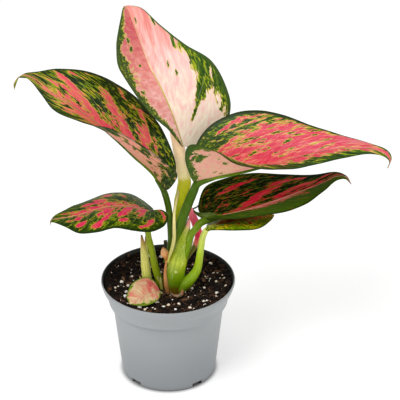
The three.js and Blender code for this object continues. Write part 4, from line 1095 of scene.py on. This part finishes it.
def potCutters():
    made = []
    width, height = pot["notchSize"]
    box = [[0, 1, 3, 2], [4, 6, 7, 5], [0, 4, 5, 1], [2, 3, 7, 6], [0, 2, 6, 4], [1, 5, 7, 3]]
    for degrees in pot["notches"]:
        a = math.radians(degrees)
        x, y = np.array([math.cos(a), math.sin(a)]), np.array([-math.sin(a), math.cos(a)])
        corners = [
            [*(x * r + y * w), z]
            for r in (pot["notchFrom"], pot["notchTo"]) for w in (-width / 2, width / 2) for z in (-1, height)]
        made.append(cutter(corners, box))
    count, radius, circle = pot["holes"]
    sides = pot["holeSides"]
    for k in range(count):
        a = (k + 0.5) / count * fullTurn
        ring = [[circle * math.cos(a) + radius * math.cos(b), circle * math.sin(a) + radius * math.sin(b), z]
                for z in (-1, 8) for b in np.arange(sides) / sides * fullTurn]
        walls = [[j, (j + 1) % sides, sides + (j + 1) % sides, sides + j] for j in range(sides)]
        made.append(cutter(ring, [*walls, list(range(sides - 1, -1, -1)), list(range(sides, 2 * sides))]))
    return made


def potBuild(tree):
    place = objectPlace(tree)
    wide, fine = spaceGrain(tree, 30, 3.0), spaceGrain(tree, 1800, 2.0)
    # painted shade: the grey darkens towards the foot of the pot
    low = fade(tree, place[2], 0.0, 0.07)
    colour = blendPaint(tree, low, paint(*pot["greyShadeLow"]), paint(*pot["grey"]))
    colour = blendPaint(tree, fade(tree, wide, 0.4, 0.65, (0.0, 0.14)), colour, paint(*pot["greyClouds"]))
    # the inside is darker: partly the pot's own darker plastic, partly painted shade
    colour = blendPaint(tree, fade(tree, read(tree, "inner"), 0.45, 0.55), colour, paint(*pot["greyInsideAndShade"]))
    # the shadowed sides of the notches in the foot
    reach = radiusOf(tree, place)
    deep = times(tree, fade(tree, reach, 0.041, 0.0406), fade(tree, place[2], 0.0052, 0.0048))
    colour = blendPaint(tree, deep, colour, paint(*pot["greyNotch"]))
    rough = calc(tree, "MULTIPLY_ADD", wide, 0.12, 0.4)
    return {"Base Color": colour, "Roughness": rough, "Specular IOR Level": 0.45,
            "height": calc(tree, "MULTIPLY_ADD", fine, 0.4, wide), "depth": 0.05}


potMaterial = finishMaterial("potGrey", potBuild)
potPiece = makePiece("potShell", [potBody()], [potMaterial], ["pot"])
cuts = potCutters()
for number, cut in enumerate(cuts):
    step = potPiece.modifiers.new("cut" + str(number), "BOOLEAN")
    step.object, step.operation, step.solver = cut, "DIFFERENCE", "EXACT"
bpy.context.view_layer.update()
finished = bpy.data.meshes.new_from_object(potPiece.evaluated_get(bpy.context.evaluated_depsgraph_get()))
potPiece.modifiers.clear()
potPiece.data = finished
for cut in cuts:
    bpy.data.objects.remove(cut)
print("pot cut:", len(finished.polygons), "faces")


# studio

studio = {
    "worldLight": 0.5, "keyPlace": (-0.9, -1.1, 1.9), "keySize": 1.3, "keyPower": 32,
    "fillPlace": (1.6, -0.6, 1.2), "fillSize": 1.6, "fillPower": 8, "floorGlow": 0.53,
    # floorGlow is the floor's even glow; the two radii after it bound the painted contact shadow round the pot
    "shadowFadeFrom": 0.04, "shadowFadeTo": 0.047, "floorHalf": 6, "lampAim": (0.03, 0, 0.15),
}
view = {"lens": 153, "sensor": 36, "degreesDown": 28.95, "distance": 1.48, "aim": (0.0285, 0, 0.1734)}


def floorBuild(tree):
    # the floor's own glow keeps the ground white; glow and grey fall off under and round the pot, a painted
    # contact shadow
    place = objectPlace(tree)
    away = radiusOf(tree, place)
    near, far = studio["shadowFadeFrom"], studio["shadowFadeTo"]
    paintedGlow = times(tree, fade(tree, away, near, far, (0.0, studio["floorGlow"])),
        fade(tree, away, far, 2.2 * far, (0.9, 1.0)))
    # painted shadow: the floor's grey darkens under the pot
    base = fade(tree, away, near, far, (0.3, 0.62))
    grey = add(tree, "ShaderNodeCombineColor", {0: base, 1: base, 2: base}).outputs[0]
    return {"Base Color": grey, "Roughness": 0.9, "Specular IOR Level": 0.1, "Emission Color": (1, 1, 1, 1),
        "Emission Strength": paintedGlow}


floorMaterial = finishMaterial("floorWhite", floorBuild)
floorMesh = bpy.data.meshes.new("floor")
far = studio["floorHalf"]
floorMesh.from_pydata([(x, y, 0) for x, y in ((-far, -far), (far, -far), (far, far), (-far, far))], [],
    [[0, 1, 2, 3]])
floorMesh.materials.append(floorMaterial)
floor = bpy.data.objects.new("floor", floorMesh)
bpy.context.scene.collection.objects.link(floor)


def softLight(name, place, size, power):
    lamp = bpy.data.lights.new(name, "AREA")
    lamp.shape, lamp.size, lamp.energy = "DISK", size, power
    made = bpy.data.objects.new(name, lamp)
    made.location = place
    made.rotation_euler = (Vector(studio["lampAim"]) - Vector(place)).to_track_quat("-Z", "Y").to_euler()
    bpy.context.scene.collection.objects.link(made)


softLight("keyLight", studio["keyPlace"], studio["keySize"], studio["keyPower"])
softLight("fillLight", studio["fillPlace"], studio["fillSize"], studio["fillPower"])

world = bpy.data.worlds.new("studio")
world.use_nodes = True
world.node_tree.nodes["Background"].inputs[0].default_value = (1, 1, 1, 1)
world.node_tree.nodes["Background"].inputs[1].default_value = studio["worldLight"]
bpy.context.scene.world = world
bpy.context.scene.view_settings.view_transform = "Standard"

lens = bpy.data.cameras.new("camera")
lens.lens, lens.sensor_width = view["lens"], view["sensor"]
camera = bpy.data.objects.new("camera", lens)
pitch, distance, (aimX, aimY, aimZ) = math.radians(view["degreesDown"]), view["distance"], view["aim"]
camera.location = (aimX, aimY - distance * math.cos(pitch), aimZ + distance * math.sin(pitch))
camera.rotation_euler = (math.pi / 2 - pitch, 0, 0)
bpy.context.scene.collection.objects.link(camera)
bpy.context.scene.camera = camera

print("done")
